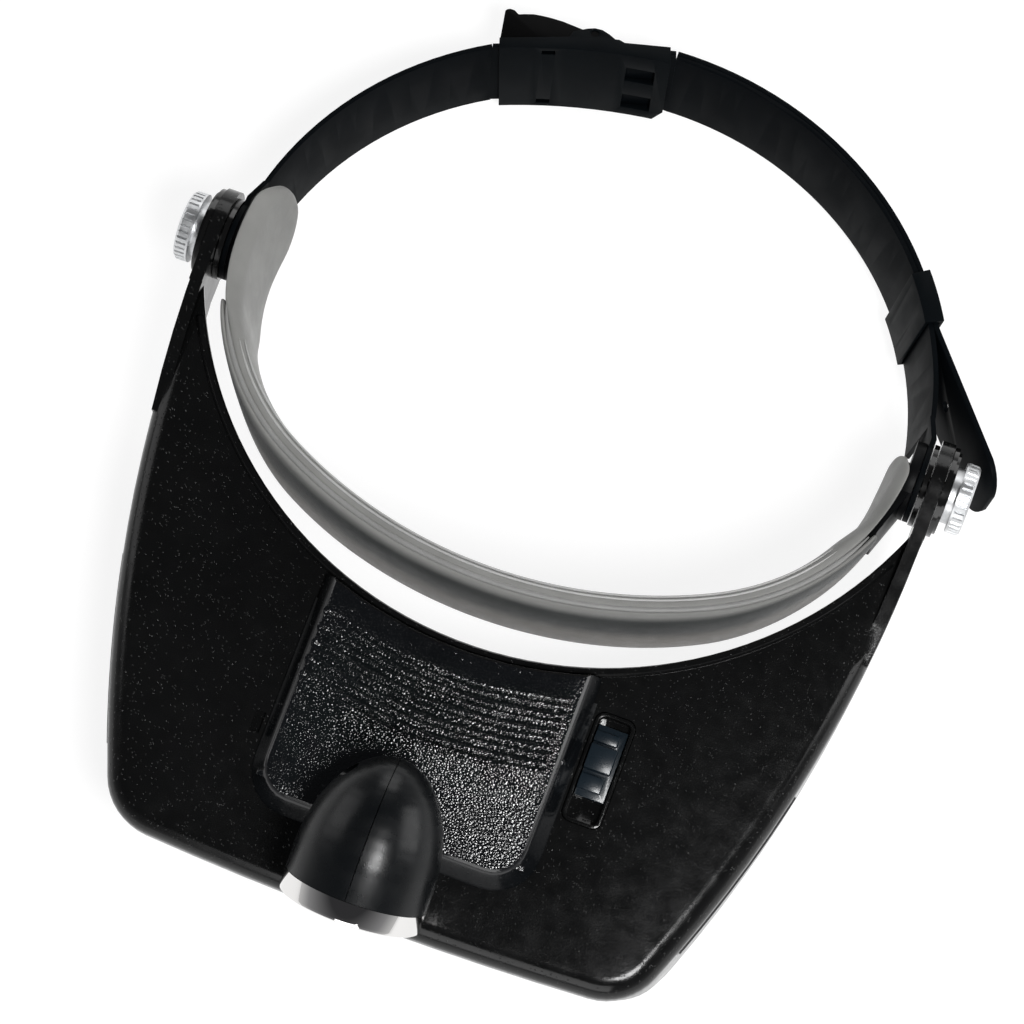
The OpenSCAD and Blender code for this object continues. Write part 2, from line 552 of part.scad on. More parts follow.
function half_outline(d, y1) = concat(
  arc_points([side_cx, side_cy], side_r - d, asin((y1 - side_cy) / (side_r - d)), fillet_a, 14),
  arc_points([fillet_cx, fillet_cy], corner_r - d, fillet_a, fillet_b, 8),
  [for (k = [1 : 4]) let (a = fillet_b + (-90 - fillet_b) * k / 4.5)
    [(front_cr - d) * cos(a), front_cy + (front_cr - d) * sin(a)]]);
function outline(d, y1) = let (h = half_outline(d, y1))
  concat(h, [for (i = [len(h) - 1 : -1 : 0]) [-h[i].x, h[i].y]]);
function at_z(pts, z) = [for (p = pts) [p.x, p.y, z]];
module visor_form(d, z0, z1, r, y1) skin(concat([at_z(outline(d, y1), z0)],
  [for (a = [0 : 18 : 90]) at_z(outline(d + r * (1 - cos(a)), y1), z1 - r + r * sin(a))]));
// A strip that follows the side walls between two insets
module wall_strip(d0, d1, y0, y1, z0, z1) translate([0, 0, z0]) linear_extrude(height = z1 - z0)
  intersection() {
    difference() { polygon(outline(d0, y1 + 1)); polygon(outline(d1, y1 + 2)); }
    translate([-visor_half_w - 5, y0]) square([2 * visor_half_w + 10, y1 - y0]);
  }

slot_z = [lens_top_z - 1.1, lens_top_z + 1.1];
slot_y = [-visor_reach + 18, -visor_reach + 62];
cover_bottom = top_z + 0.1;
latch_x = cover_x - cover_half_w - 2.1;
latch_y = cover_y0 + 18.5;
frame_screw_y = [-visor_reach + 25.5, -visor_reach + 55.5];
rail_t = 2.4;
function frame_screw_x(y) = wall_x(y, visor_wall + gap + rail_t) - 2.4;
screw_r = 1;
screw_head_r = 1.9;
screw_head_h = 1.2;
tray_screw_x = tray_x + 3;
base_screw_x = 6.4;
base_y = lamp_base_y[0] + 3.2;
rail_z = [lens_top_z - 2.2, lens_top_z + 2.2];
boss_r = 2.5;
hook_x = cover_half_w - cover_t - 2.6;
hook_y = [cover_y0 + 7, cover_y0 + 33];
hook_w = 4;
hook_t = 1.2;
// Bore of a screw boss that hangs below the top plate
module boss(x, y, z) translate([x, y, z]) cylinder(h = under_z - z + 0.1, r = boss_r);
module boss_bore(x, y, z) translate([x, y, z - 1]) cylinder(h = under_z - z + 1, r = screw_r + run_gap);
tray_boss_z = tray_z0 + 2.1;
frame_boss_z = rail_z[1] + face_gap;
module frame_bosses() for (s = [-1, 1]) for (y = frame_screw_y)
  translate([s * frame_screw_x(y), y, 0]) children();
module tray_bosses() for (s = [-1, 1]) translate([cover_x + s * tray_screw_x, tray_y, 0]) children();
module base_holes() for (s = [-1, 1]) translate([lamp_x + s * base_screw_x, base_y, 0]) children();

// Visor shell: top plate, lip and side walls, with an arm to each pivot
module visor_shell() color([0.03, 0.03, 0.032]) in_visor() difference() {
  union() {
    difference() {
      visor_form(0, 0, top_z, edge_r, shell_y1);
      visor_form(visor_wall, -1, under_z, edge_r - visor_wall + 0.4, shell_y1 + 2);
      translate([0, brow_y, -1]) cylinder(h = top_z + 2, r = brow_r, $fn = 180);
      visor_side_cut();
    }
    brow_bead();
    both_sides() arm();
    wall_strip(visor_wall - 0.6, visor_wall + 3.4, lens_edge_y + 15.7, foot_y1, 0, 2);
    frame_bosses() boss(0, 0, frame_boss_z);
    tray_bosses() boss(0, 0, tray_boss_z);
  }
  translate([-visor_half_w - 5, slot_y[0], slot_z[0]])
    cube([2 * visor_half_w + 10, slot_y[1] - slot_y[0], slot_z[1] - slot_z[0]]);
  frame_bosses() boss_bore(0, 0, frame_boss_z);
  tray_bosses() boss_bore(0, 0, tray_boss_z);
  base_holes() translate([0, 0, under_z - 1]) cylinder(h = visor_wall + 2, r = screw_r + 0.2);
  translate([lamp_x, base_y + 3.4, under_z - 1]) cylinder(h = visor_wall + 2, r = 1.8);
  translate([cover_x - tray_x - gap, tray_y - tray_half_y - gap, under_z - 1])
    cube([2 * (tray_x + gap), 2 * (tray_half_y + gap), visor_wall + 2]);
  translate([switch_x, switch_y, under_z - 1]) rounded(switch_w + 0.3, switch_l + 0.3, 2.4, visor_wall + 2);
  translate([latch_x - 1.2, latch_y - 2.5, under_z + 0.8]) cube([2.4, 5, visor_wall + 2]);
  for (s = [-1, 1]) for (y = hook_y)
    translate([cover_x + s * hook_x - hook_w / 2, y - hook_t / 2 - 1.7, under_z - 1])
      cube([hook_w, hook_t + cover_travel + 2.4, visor_wall + 2]);
  for (s = [-1, 1]) translate([s * arm_x0, 0, pivot_z]) rotate([0, s * 90, 0]) translate([0, 0, -1])
    cylinder(h = arm_t + 2, r = bore_r);
}
module rounded(w, l, r, h) linear_extrude(height = h) {
  square([w - 2 * r, l], center = true);
  square([w, l - 2 * r], center = true);
  for (x = [-1, 1], y = [-1, 1]) translate([x * (w / 2 - r), y * (l / 2 - r)]) circle(r = r);
}
// Side profile of the walls: raked front edge, level foot, rise towards the pivot
lens_edge_y = -visor_reach + front_bow + 0.4;
module visor_side_cut() rotate([90, 0, 90]) translate([0, 0, -150]) linear_extrude(height = 300) {
  polygon([[-visor_reach - 5, lens_top_z], [lens_edge_y, lens_top_z],
    [lens_edge_y + lens_top_z * tan(lens_rake), 0], [lens_edge_y + lens_top_z * tan(lens_rake) + 0.5, -2],
    [-visor_reach - 5, -2]]);
  polygon([[foot_y1, -2], [foot_y1, 0], [foot_y1 * 0.8, 1.4], [foot_y1 * 0.62, 5.5], [foot_y1 * 0.43, 13],
    [foot_y1 * 0.28, (pivot_z - arm_r) * 0.86], [shell_y1, pivot_z - arm_r], [10, pivot_z - arm_r],
    [10, -2]]);
}
arm_cut = 0.15;
arm_back = 46;
module arm_profile(lift) translate([0, 0, pivot_z]) rotate([90, 0, 90]) linear_extrude(height = 2 * visor_half_w)
  polygon(concat([[-arm_back, top_rise - 1.5], [-arm_back, -arm_r * 1.5], [foot_y1 * 0.43, 13 - pivot_z + lift],
    [foot_y1 * 0.28, (pivot_z - arm_r) * 0.86 - pivot_z + lift], [shell_y1, -arm_r + lift]],
    arc_points([0, 0], arm_r - lift, -90, 105, 14)));
module arm() {
  translate([arm_x0, 0, pivot_z]) rotate([0, 90, 0]) cylinder(h = arm_t, r = arm_r);
  intersection() {
    translate([arm_x0, shell_y1 - 0.3, pivot_z - arm_r - 1]) cube([arm_t, -shell_y1 + 0.3, 2 * arm_r + 2]);
    arm_profile(0.05);
  }
  intersection() {
    linear_extrude(height = pivot_z + arm_r) intersection() {
      difference() { polygon(outline(arm_cut, 2)); polygon(outline(arm_t, 3)); }
      translate([0, -arm_back]) square([visor_half_w + 5, arm_back + shell_y1]);
    }
    arm_profile(arm_cut);
  }
}
bead_a = asin((brow_y + 21) / brow_r);
module brow_bead() translate([0, brow_y, 0]) rotate([0, 0, 180 + bead_a])
  rotate_extrude(angle = 180 - 2 * bead_a, $fn = 180) polygon([[brow_r + 0.1, top_z - 1],
    [brow_r + 0.1, top_z + bead_h * 0.6], [brow_r + 0.5, top_z + bead_h],
    [brow_r + bead_w - 0.6, top_z + bead_h], [brow_r + bead_w, top_z + bead_h * 0.5],
    [brow_r + bead_w, top_z - 1]]);

// Lens frame: its own frame lies in the plane of the lens, y up along it, z out through the front
module in_lens() in_visor() translate([0, lens_edge_y, lens_top_z]) rotate([90 + lens_rake, 0, 0]) children();
frame_d = 2.6;
frame_t = lens_t + 2.6;
lens_low = -(lens_top_z - 0.8) / cos(lens_rake);
function frame_half(y, d) = let (wy = lens_edge_y - y * sin(lens_rake) + frame_d * cos(lens_rake))
  [wall_x(wy, visor_wall + gap) - d, y];
frame_levels = [for (i = [0 : 8]) mix(1.2, lens_low, i / 8)];
module frame_outline(d, top) polygon(concat([for (y = frame_levels) [frame_half(y, d).x, min(y, top)]],
  [for (i = [8 : -1 : 0]) [-frame_half(frame_levels[i], d).x, min(frame_levels[i], top)]]));
module slab(z0, z1) translate([0, 0, -frame_d - z1]) linear_extrude(height = z1 - z0) children();
// Round notch for the nose, with a rim of its own
notch_r = 14;
module notch(d) translate([0, lens_low - 4]) circle(r = notch_r + d, $fn = 96);
module over(y, h) translate([-visor_half_w, lens_low + y]) square([2 * visor_half_w, h]);
module lens_frame() color([0.04, 0.04, 0.045]) difference() {
  union() {
    in_lens() slab(0, frame_t) difference() {
      frame_outline(0, 1.2);
      difference() { frame_outline(7.5, -6.5); over(-6, 9); notch(2.6); }
      notch(0);
    }
    in_visor() {
      wall_strip(visor_wall + gap, visor_wall + gap + rail_t, -visor_reach + 6, slot_y[1] - 1,
        rail_z[0], rail_z[1]);
      wall_strip(visor_wall + gap, visor_wall + gap + 6.5, -visor_reach + 5, -visor_reach + 13,
        rail_z[0], rail_z[1]);
      wall_strip(-0.4, visor_wall + gap + 1, slot_y[0] + 0.5, slot_y[1] - 0.5,
        slot_z[0] + gap, slot_z[1] - gap);
      frame_bosses() translate([0, 0, rail_z[1] - 2]) cylinder(h = 2, r = 3.2);
    }
  }
  in_lens() slab((frame_t - lens_t) / 2 - 0.15, (frame_t + lens_t) / 2 + 0.15) difference() {
    intersection() { frame_outline(3.9, -3.1); over(3.2, 60); }
    notch(1.2);
  }
  in_lens() slab((frame_t - lens_t) / 2 - 0.15, frame_t + 1) difference() {
    intersection() { frame_outline(3.9, -3.1); over(3.2, 4); }
    notch(1.2);
  }
  in_visor() frame_bosses() translate([0, 0, rail_z[1] - 3]) cylinder(h = 4, r = screw_r + 0.15);
}
lens_r = 1100;
module lens_plate() color([0.8, 0.9, 0.95, 0.35]) in_lens() intersection() {
  slab((frame_t - lens_t) / 2, (frame_t + lens_t) / 2) difference() {
    intersection() { frame_outline(4.2, -3.4); over(3.5, 60); }
    notch(1.5);
  }
  translate([0, lens_low / 2, -frame_d - (frame_t + lens_t) / 2]) rotate_extrude($fn = 120) polygon(concat(
    [[0, lens_t + 1], [70, lens_t + 1]],
    [for (i = [14 : -1 : 0]) let (r = i * 5) [r, lens_r - sqrt(lens_r * lens_r - r * r)]]));
}
module screw(z, l) {
  translate([0, 0, z]) cylinder(h = l, r = screw_r);
  translate([0, 0, z - screw_head_h]) cylinder(h = screw_head_h, r = screw_head_r);
}
module frame_screws() color([0.5, 0.5, 0.5]) in_visor() frame_bosses() screw(rail_z[1] - 2.1, 4.2);

// Battery bay
module battery_tray() color([0.05, 0.05, 0.055]) in_visor() difference() {
  translate([cover_x, tray_y, 0]) union() {
    difference() {
      translate([-tray_x, -tray_half_y, tray_z0]) cube([2 * tray_x, 2 * tray_half_y, top_z - 0.3 - tray_z0]);
      translate([-tray_x + tray_t, -tray_half_y + tray_t, tray_floor])
        cube([2 * (tray_x - tray_t), 2 * (tray_half_y - tray_t), 20]);
    }
    translate([-tray_x - 6, -3.5, tray_z0]) cube([2 * tray_x + 12, 7, 1.9]);
  }
  translate([cover_x - tray_x + tray_t, tray_y - tray_half_y + tray_t, tray_floor])
    cube([2 * (tray_x - tray_t), 2 * (tray_half_y - tray_t), 20]);
  tray_bosses() translate([0, 0, tray_z0 - 1]) cylinder(h = 4, r = screw_r + 0.15);
  for (s = [-1, 1]) translate([lamp_x + s * 1.1, tray_y - tray_half_y + tray_t + 1, tray_z0 + 3])
    rotate([90, 0, 0]) cylinder(h = 4, r = 0.85);
}
module tray_screws() color([0.5, 0.5, 0.5]) in_visor() tray_bosses() screw(tray_z0 - 0.1, 4.6);
module cell(s) rotate([0, s * 90, 0]) {
  translate([0, 0, -cell_l / 2]) cylinder(h = cell_l - 1, r = cell_d / 2);
  translate([0, 0, -cell_l / 2]) cylinder(h = cell_l, r = cell_d * 0.19);
}
cell_y = (cell_d + cell_gap) / 2;
contact_x = tray_x - tray_t - plate_t - 0.1;
module in_tray(s) in_visor() translate([cover_x, tray_y + s * cell_y, cell_z]) children();
module battery_front() color([0.55, 0.35, 0.15]) in_tray(-1)
  translate([contact_x - 0.1 - cell_l / 2, 0, 0]) cell(1);
module battery_rear() color([0.55, 0.35, 0.15]) in_tray(1)
  translate([-contact_x + 0.1 + cell_l / 2, 0, 0]) cell(-1);
wire_r = 0.7;
module coil(s) for (i = [0 : 4])
  translate([s * (contact_x - wire_r - i * (spring_l - 0.4 - 2 * wire_r) / 4), 0, 0])
  rotate([0, 90, 0]) rotate_extrude() translate([3.4 - i * 0.35, 0]) circle(r = wire_r, $fn = 16);
module contact_springs() color([0.8, 0.8, 0.8]) { in_tray(-1) coil(-1); in_tray(1) coil(1); }
module contact_plates() color([0.8, 0.75, 0.5]) in_visor() translate([cover_x, tray_y, cell_z]) {
  translate([-contact_x - plate_t + 0.05, -cell_y - 4, -4]) cube([plate_t - 0.1, 2 * cell_y + 8, 8]);
  for (s = [-1, 1]) translate([contact_x + 0.05, s * cell_y - 4, -4]) cube([plate_t - 0.1, 8, 8]);
}
// Battery cover with its concentric ribs, hollow behind the brow line
cover_x_max = abs(cover_x) + cover_half_w;
cover_y1 = brow_y - sqrt(cover_brow_r * cover_brow_r - cover_x_max * cover_x_max) + 2;
function cover_outline(d) = let (w = cover_half_w - d, r = max(1.5, cover_r - d), y0 = cover_y0 + d)
  concat([[cover_x + w, cover_y1]], arc_points([cover_x + w - r, y0 + r], r, 0, -90, 6),
    arc_points([cover_x - w + r, y0 + r], r, -90, -180, 6), [[cover_x - w, cover_y1]]);
cover_slope = cover_half_w - cover_top_half;
module rib(i) {
  r = brow_r + 9.8 + i * rib_pitch;
  a0 = 360 - acos((cover_x - cover_top_half + 1.5) / r);
  a1 = 360 - acos((cover_x + cover_top_half - 2.2) / r);
  rotate([0, 0, a0]) difference() {
    union() {
      rotate_extrude(angle = a1 - a0, $fn = 180) translate([r - 1.3, 0]) square([2.6, 1.4]);
      translate([r, 0, 0]) cylinder(h = 1.4, r = 1.3, $fn = 24);
    }
    rotate_extrude(angle = a1 - a0 + 1, $fn = 180) translate([r - 0.35, 0.7]) square([0.7, 2]);
  }
}
module battery_cover() color([0.04, 0.04, 0.042]) in_visor() {
  difference() {
    union() {
      difference() {
        skin([for (q = [[0, 0], [0.8, 0.5], [cover_h - 1.2, cover_slope * 0.84], [cover_h - 0.4, cover_slope],
          [cover_h, cover_slope + 0.6]]) at_z(cover_outline(q[1]), cover_bottom + q[0])]);
        translate([0, brow_y, cover_bottom]) rotate_extrude($fn = 180) polygon([[0, -1], [cover_brow_r, -1],
          [cover_brow_r, cover_h - 0.5], [cover_brow_r + 0.7, cover_h + 0.2],
          [cover_brow_r + 0.7, cover_h + 1], [0, cover_h + 1]]);
      }
      translate([0, brow_y, cover_bottom + cover_h - 0.7]) for (i = [0 : rib_n - 1]) rib(i);
    }
    difference() {
      skin([for (q = [[-1, 0], [cover_h - cover_t, cover_slope * 0.8]])
        at_z(cover_outline(cover_t + q[1]), cover_bottom + q[0])]);
      translate([0, brow_y, cover_bottom - 2])
        cylinder(h = cover_h + 2, r = cover_brow_r + cover_t, $fn = 180);
    }
    translate([0, brow_y, cover_bottom - 1])
      cylinder(h = bead_h + 1.2, r = cover_brow_r + cover_travel + 0.6, $fn = 180);
  }
  for (s = [-1, 1]) for (y = hook_y) translate([cover_x + s * hook_x, y, 0]) {
    translate([-hook_w / 2 + 0.4, -hook_t / 2, under_z - 1.6])
      cube([hook_w - 0.8, hook_t, cover_bottom + cover_h - cover_t + 0.5 - under_z + 1.6]);
    translate([-hook_w / 2 + 0.4, -hook_t / 2 - 1.3, under_z - 1.6]) cube([hook_w - 0.8, hook_t + 1.3, 1.4]);
  }
}

// Switch: a tub let into the plate and a slider in it
tub_floor = top_z - 2.7;
slider_y = switch_y + switch_l / 2 - 1.2 - slider_l / 2 - 3.2;
module switch_housing() color([0.05, 0.05, 0.055]) in_visor() translate([switch_x, switch_y, tub_floor])
  difference() {
    translate([0, 0, -1.4]) union() {
      rounded(switch_w, switch_l, 2.3, top_z - 0.1 - tub_floor + 1.4);
      rounded(switch_w + 5, switch_l + 4, 2.3, under_z - 0.2 - tub_floor + 1.4);
    }
    rounded(switch_w - 1.8, switch_l - 1.8, 1.6, 5);
    translate([-1.5, slider_y - switch_y - 4.3 - slider_travel, -2]) cube([3, 8.6 + slider_travel, 3]);
  }
module switch_slider() color([0.08, 0.1, 0.13]) in_visor() translate([switch_x, slider_y, tub_floor]) {
  translate([-slider_w / 2, -slider_l / 2 - 1.6, 0.15]) cube([slider_w, slider_l + 3.2, 1.2]);
  translate([-slider_w / 2, -slider_l * 0.16, 0.3]) cube([slider_w - 0.9, slider_l * 0.42, 3.6]);
  translate([-slider_w / 2, slider_l * 0.32, 0.3]) cube([slider_w - 1.6, slider_l * 0.18, 2.3]);
  translate([-slider_w / 2, -slider_l / 2, 0.3]) cube([slider_w - 1.6, slider_l * 0.26, 2.3]);
  translate([-1.2, -4, -2.4]) cube([2.4, 8, 3]);
  translate([-2.2, -4, -2.4]) cube([4.4, 8, 0.8]);
}
// Leads from the tray under the plate and up into the lamp's foot
module supply_leads() color([0.6, 0.05, 0.05]) in_visor() for (s = [-1, 1])
translate([lamp_x + s * 1.1, 0, 0]) {
  y0 = tray_y - tray_half_y + tray_t + 0.6;
  y1 = base_y + 3.4;
  zl = tray_z0 + 3;
  translate([0, y1 + 2, zl]) rotate([-90, 0, 0]) cylinder(h = y0 - y1 - 2, r = 0.6);
  translate([0, y1 + 2, zl + 2]) rotate([-90, 0, 0]) rotate([0, 90, 0]) rotate_extrude(angle = 90)
    translate([2, 0]) circle(r = 0.6, $fn = 24);
  translate([0, y1, zl + 2]) cylinder(h = top_z + 0.8 - zl - 2, r = 0.6);
}

// Lamp foot: a plate on the visor with a knuckle that stands up into the lamp
foot_t = 2;
module lamp_base() color([0.04, 0.04, 0.045]) in_visor() translate([lamp_x, 0, 0]) difference() {
  union() {
    translate([0, (lamp_base_y[0] + lamp_base_y[1]) / 2, top_z + 0.05])
      rounded(2 * base_screw_x + 6, lamp_base_y[1] - lamp_base_y[0], 2, foot_t);
    translate([-knuckle_w / 2, lamp_pin_y, 0]) rotate([90, 0, 90]) linear_extrude(height = knuckle_w)
      polygon([[-2, top_z + 1], [2.4, top_z + 1], [2.9, lamp_pin_z - 0.8], [-2, lamp_pin_z - 0.8]]);
    translate([0, lamp_pin_y, lamp_pin_z]) along_x(-knuckle_w / 2, knuckle_w / 2, knuckle_r);
  }
  translate([0, lamp_pin_y, lamp_pin_z]) along_x(-knuckle_w, knuckle_w, lamp_pin_d / 2 + run_gap);
  for (s = [-1, 1]) translate([s * base_screw_x, base_y, top_z - 1]) cylinder(h = 2.6, r = screw_r + run_gap);
  translate([0, base_y + 3.4, top_z - 1]) cylinder(h = 2.6, r = 1.9);
}
module base_screws() color([0.5, 0.5, 0.5]) in_visor() base_holes() screw(under_z - 0.1, visor_wall + 1.4);
module in_pin() in_lamp() translate([0, pin_at.y, pin_at.x]) children();
pin_half = knuckle_w / 2 + 2.8;
module lamp_pin() color([0.6, 0.6, 0.62]) in_pin() along_x(-pin_half, pin_half, lamp_pin_d / 2);

// Lamp shell: a bullet in two halves, flat below behind the chin so that it clears the cover
chin = [pin_at.x + 4.6, lamp_r * 0.765];
function bullet(g) = let (s = ring_l + (g > 0 ? -0.9 : 0.1)) concat([[0, s], [lamp_r - g, s]],
  [for (i = [0 : 12]) [(lamp_r - g) * cos(i * 7.5), ring_l + lamp_body_l + (bullet_l - g) * sin(i * 7.5)]]);
module lamp_form(g) difference() {
  rotate_extrude($fn = 96) polygon(bullet(g));
  translate([-lamp_r - 1, chin.y - g, chin.x - g]) cube([lamp_d + 2, lamp_r, lamp_l]);
}
lamp_screw_at = [[lamp_r * 0.5, ring_l + 17], [-lamp_r * 0.12, ring_l + 25]];
module lamp_body() difference() {
  union() {
    difference() { lamp_form(0); lamp_form(lamp_wall); }
    intersection() {
      lamp_form(0.4);
      for (x = [knuckle_w / 2 + gap, -knuckle_w / 2 - gap - 2.6])
        translate([x, pin_at.y - 3.2, pin_at.x - 3.2]) cube([2.6, 6, 6.4]);
    }
    intersection() {
      lamp_form(0.4);
      for (q = lamp_screw_at) translate([0, q.x, q.y]) along_x(-lamp_r, lamp_r, 2.3);
    }
    translate([0, 0, led_s + 1.6]) cylinder(h = 1.2, r = lamp_r - 0.6, $fn = 96);
  }
  translate([0, 0, led_s]) cylinder(h = 4, r = 4.5);
  translate([-knuckle_w / 2 - gap, pin_at.y - knuckle_r - 0.5, pin_at.x - 4.9])
    cube([knuckle_w + 2 * gap, 12, 9.9]);
  translate([0, pin_at.y, pin_at.x]) along_x(-pin_half - 0.2, pin_half + 0.2, lamp_pin_d / 2 + run_gap);
}
module lamp_shell_left() color([0.03, 0.035, 0.04]) in_lamp() difference() {
  intersection() { lamp_body(); translate([-30.1, -30, -1]) cube([30, 60, 60]); }
  for (q = lamp_screw_at) translate([0, q.x, q.y]) {
    along_x(-7, 1, screw_r + 0.15);
    along_x(-lamp_r - 1, -6, screw_head_r + 0.2);
  }
}
module lamp_shell_right() color([0.03, 0.035, 0.04]) in_lamp() difference() {
  intersection() { lamp_body(); translate([0.1, -30, -1]) cube([30, 60, 60]); }
  for (q = lamp_screw_at) translate([0, q.x, q.y]) along_x(-1, 6, screw_r + run_gap);
}
module lamp_screws() color([0.5, 0.5, 0.5]) in_lamp() for (q = lamp_screw_at) translate([0, q.x, q.y]) {
  along_x(-6.2, 5.4, screw_r);
  along_x(-6 - screw_head_h, -6, screw_head_r);
}
// Front ring with its spigot, lens, reflector and light source
bore_s = lamp_r - 3.2;
module lamp_ring() color([0.85, 0.85, 0.87]) in_lamp() rotate_extrude($fn = 96)
  polygon([[bore_s - 0.7, 0.2], [lamp_r - 2.4, 0], [lamp_r - 0.6, 0], [lamp_r - 0.15, 0.3], [lamp_r, 0.9],
    [lamp_r, ring_l], [lamp_r - lamp_wall - gap, ring_l], [lamp_r - lamp_wall - gap, ring_l + 1.3],
    [bore_s, ring_l + 1.3], [bore_s, 1.4], [bore_s - 0.7, 1.4]]);
module lamp_lens() color([0.85, 0.9, 0.95, 0.4]) in_lamp() translate([0, 0, 1.5])
  cylinder(h = 1.6, r = bore_s - 0.15, $fn = 96);
led_s = ring_l + 7.2;
module lamp_reflector() color([0.8, 0.8, 0.82]) in_lamp() rotate_extrude($fn = 96)
  polygon([[bore_s - 0.2, 3.3], [bore_s - 0.2, 4.2], [10.4, 6.4], [8, 9], [5.8, 11], [4.4, led_s - 0.6],
    [3.4, led_s - 0.6], [4.9, 10.6], [7.2, 8.4], [9.6, 5.8], [bore_s - 1.4, 3.3]]);
module lamp_led() color([0.95, 0.95, 0.9]) in_lamp() rotate_extrude()
  polygon(concat([[0, led_s - 0.1], [2.9, led_s - 0.1], [2.9, led_s - 1], [2.5, led_s - 1], [2.5, led_s - 3]],
    [for (a = [15 : 15 : 90]) [2.5 * cos(a), led_s - 3 - 2.5 * sin(a)]]));
module led_board() color([0.1, 0.35, 0.15]) in_lamp() translate([0, 0, led_s]) cylinder(h = 1.4, r = 7);

front_band();
forehead_pad();
pad_cover();
long_strap();
short_strap();
strap_keeper();
buckle_body();
buckle_lever();
lever_pin();
pivot_bolts();
inner_washers();
outer_washers();
left_knob();
right_knob();
visor_shell();
lens_frame();
lens_plate();
frame_screws();
battery_tray();
tray_screws();
battery_cover();
battery_front();
battery_rear();
contact_springs();
contact_plates();
switch_housing();
switch_slider();
supply_leads();
lamp_base();
base_screws();
lamp_pin();
lamp_shell_left();
lamp_shell_right();
lamp_screws();
lamp_ring();
lamp_reflector();
lamp_lens();
lamp_led();
led_board();
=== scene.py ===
"""Looks of the lighted headband magnifier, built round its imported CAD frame.

Metres, +Z up, front towards -Y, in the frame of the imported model.
"""
import math

import bmesh
import bpy
import numpy as np
from mathutils import Matrix, Vector


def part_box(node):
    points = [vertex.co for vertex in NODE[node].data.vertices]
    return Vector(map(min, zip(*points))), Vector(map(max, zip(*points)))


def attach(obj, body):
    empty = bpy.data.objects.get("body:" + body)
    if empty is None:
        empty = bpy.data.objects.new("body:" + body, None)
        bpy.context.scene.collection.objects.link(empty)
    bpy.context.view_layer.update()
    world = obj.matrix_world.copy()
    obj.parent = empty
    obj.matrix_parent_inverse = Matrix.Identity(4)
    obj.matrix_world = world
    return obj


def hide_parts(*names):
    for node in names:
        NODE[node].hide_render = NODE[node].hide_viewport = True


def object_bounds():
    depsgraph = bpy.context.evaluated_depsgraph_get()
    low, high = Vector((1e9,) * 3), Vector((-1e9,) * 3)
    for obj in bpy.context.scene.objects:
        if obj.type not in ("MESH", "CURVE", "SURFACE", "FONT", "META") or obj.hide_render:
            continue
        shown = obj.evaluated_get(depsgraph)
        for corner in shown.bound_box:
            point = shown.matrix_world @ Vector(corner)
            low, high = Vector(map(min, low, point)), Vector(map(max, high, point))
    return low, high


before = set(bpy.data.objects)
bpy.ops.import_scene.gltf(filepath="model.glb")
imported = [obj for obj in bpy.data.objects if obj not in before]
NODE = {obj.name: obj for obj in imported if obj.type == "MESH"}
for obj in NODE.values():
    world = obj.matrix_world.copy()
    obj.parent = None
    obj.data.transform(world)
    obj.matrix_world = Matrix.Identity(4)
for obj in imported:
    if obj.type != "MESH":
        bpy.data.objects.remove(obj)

cad_low, cad_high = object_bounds()
SCENE = bpy.context.scene
MM = 0.001

# Camera
cam_data = bpy.data.cameras.new("camera")
cam = bpy.data.objects.new("camera", cam_data)
SCENE.collection.objects.link(cam)
RIGHT = Vector((0.93809078, 0.34622218, -0.01076507))
UP = Vector((-0.33657822, 0.91842392, 0.20787641))
BACK = Vector((0.08185832, -0.19138366, 0.97809586))
turn = Matrix((RIGHT, UP, BACK)).transposed().to_4x4()
turn.translation = Vector((0.06544191, -0.17242887, 0.86918727))
cam.matrix_world = turn
cam_data.sensor_width = 36
cam_data.lens = 128.003
cam_data.clip_start = 0.05
cam_data.clip_end = 50
SCENE.camera = cam


# Material helpers
COAT_ROUGH = 0.1
SHEEN_ROUGH = 0.4
WEAR = 1.35
GLOSS_SPREAD = 0.05


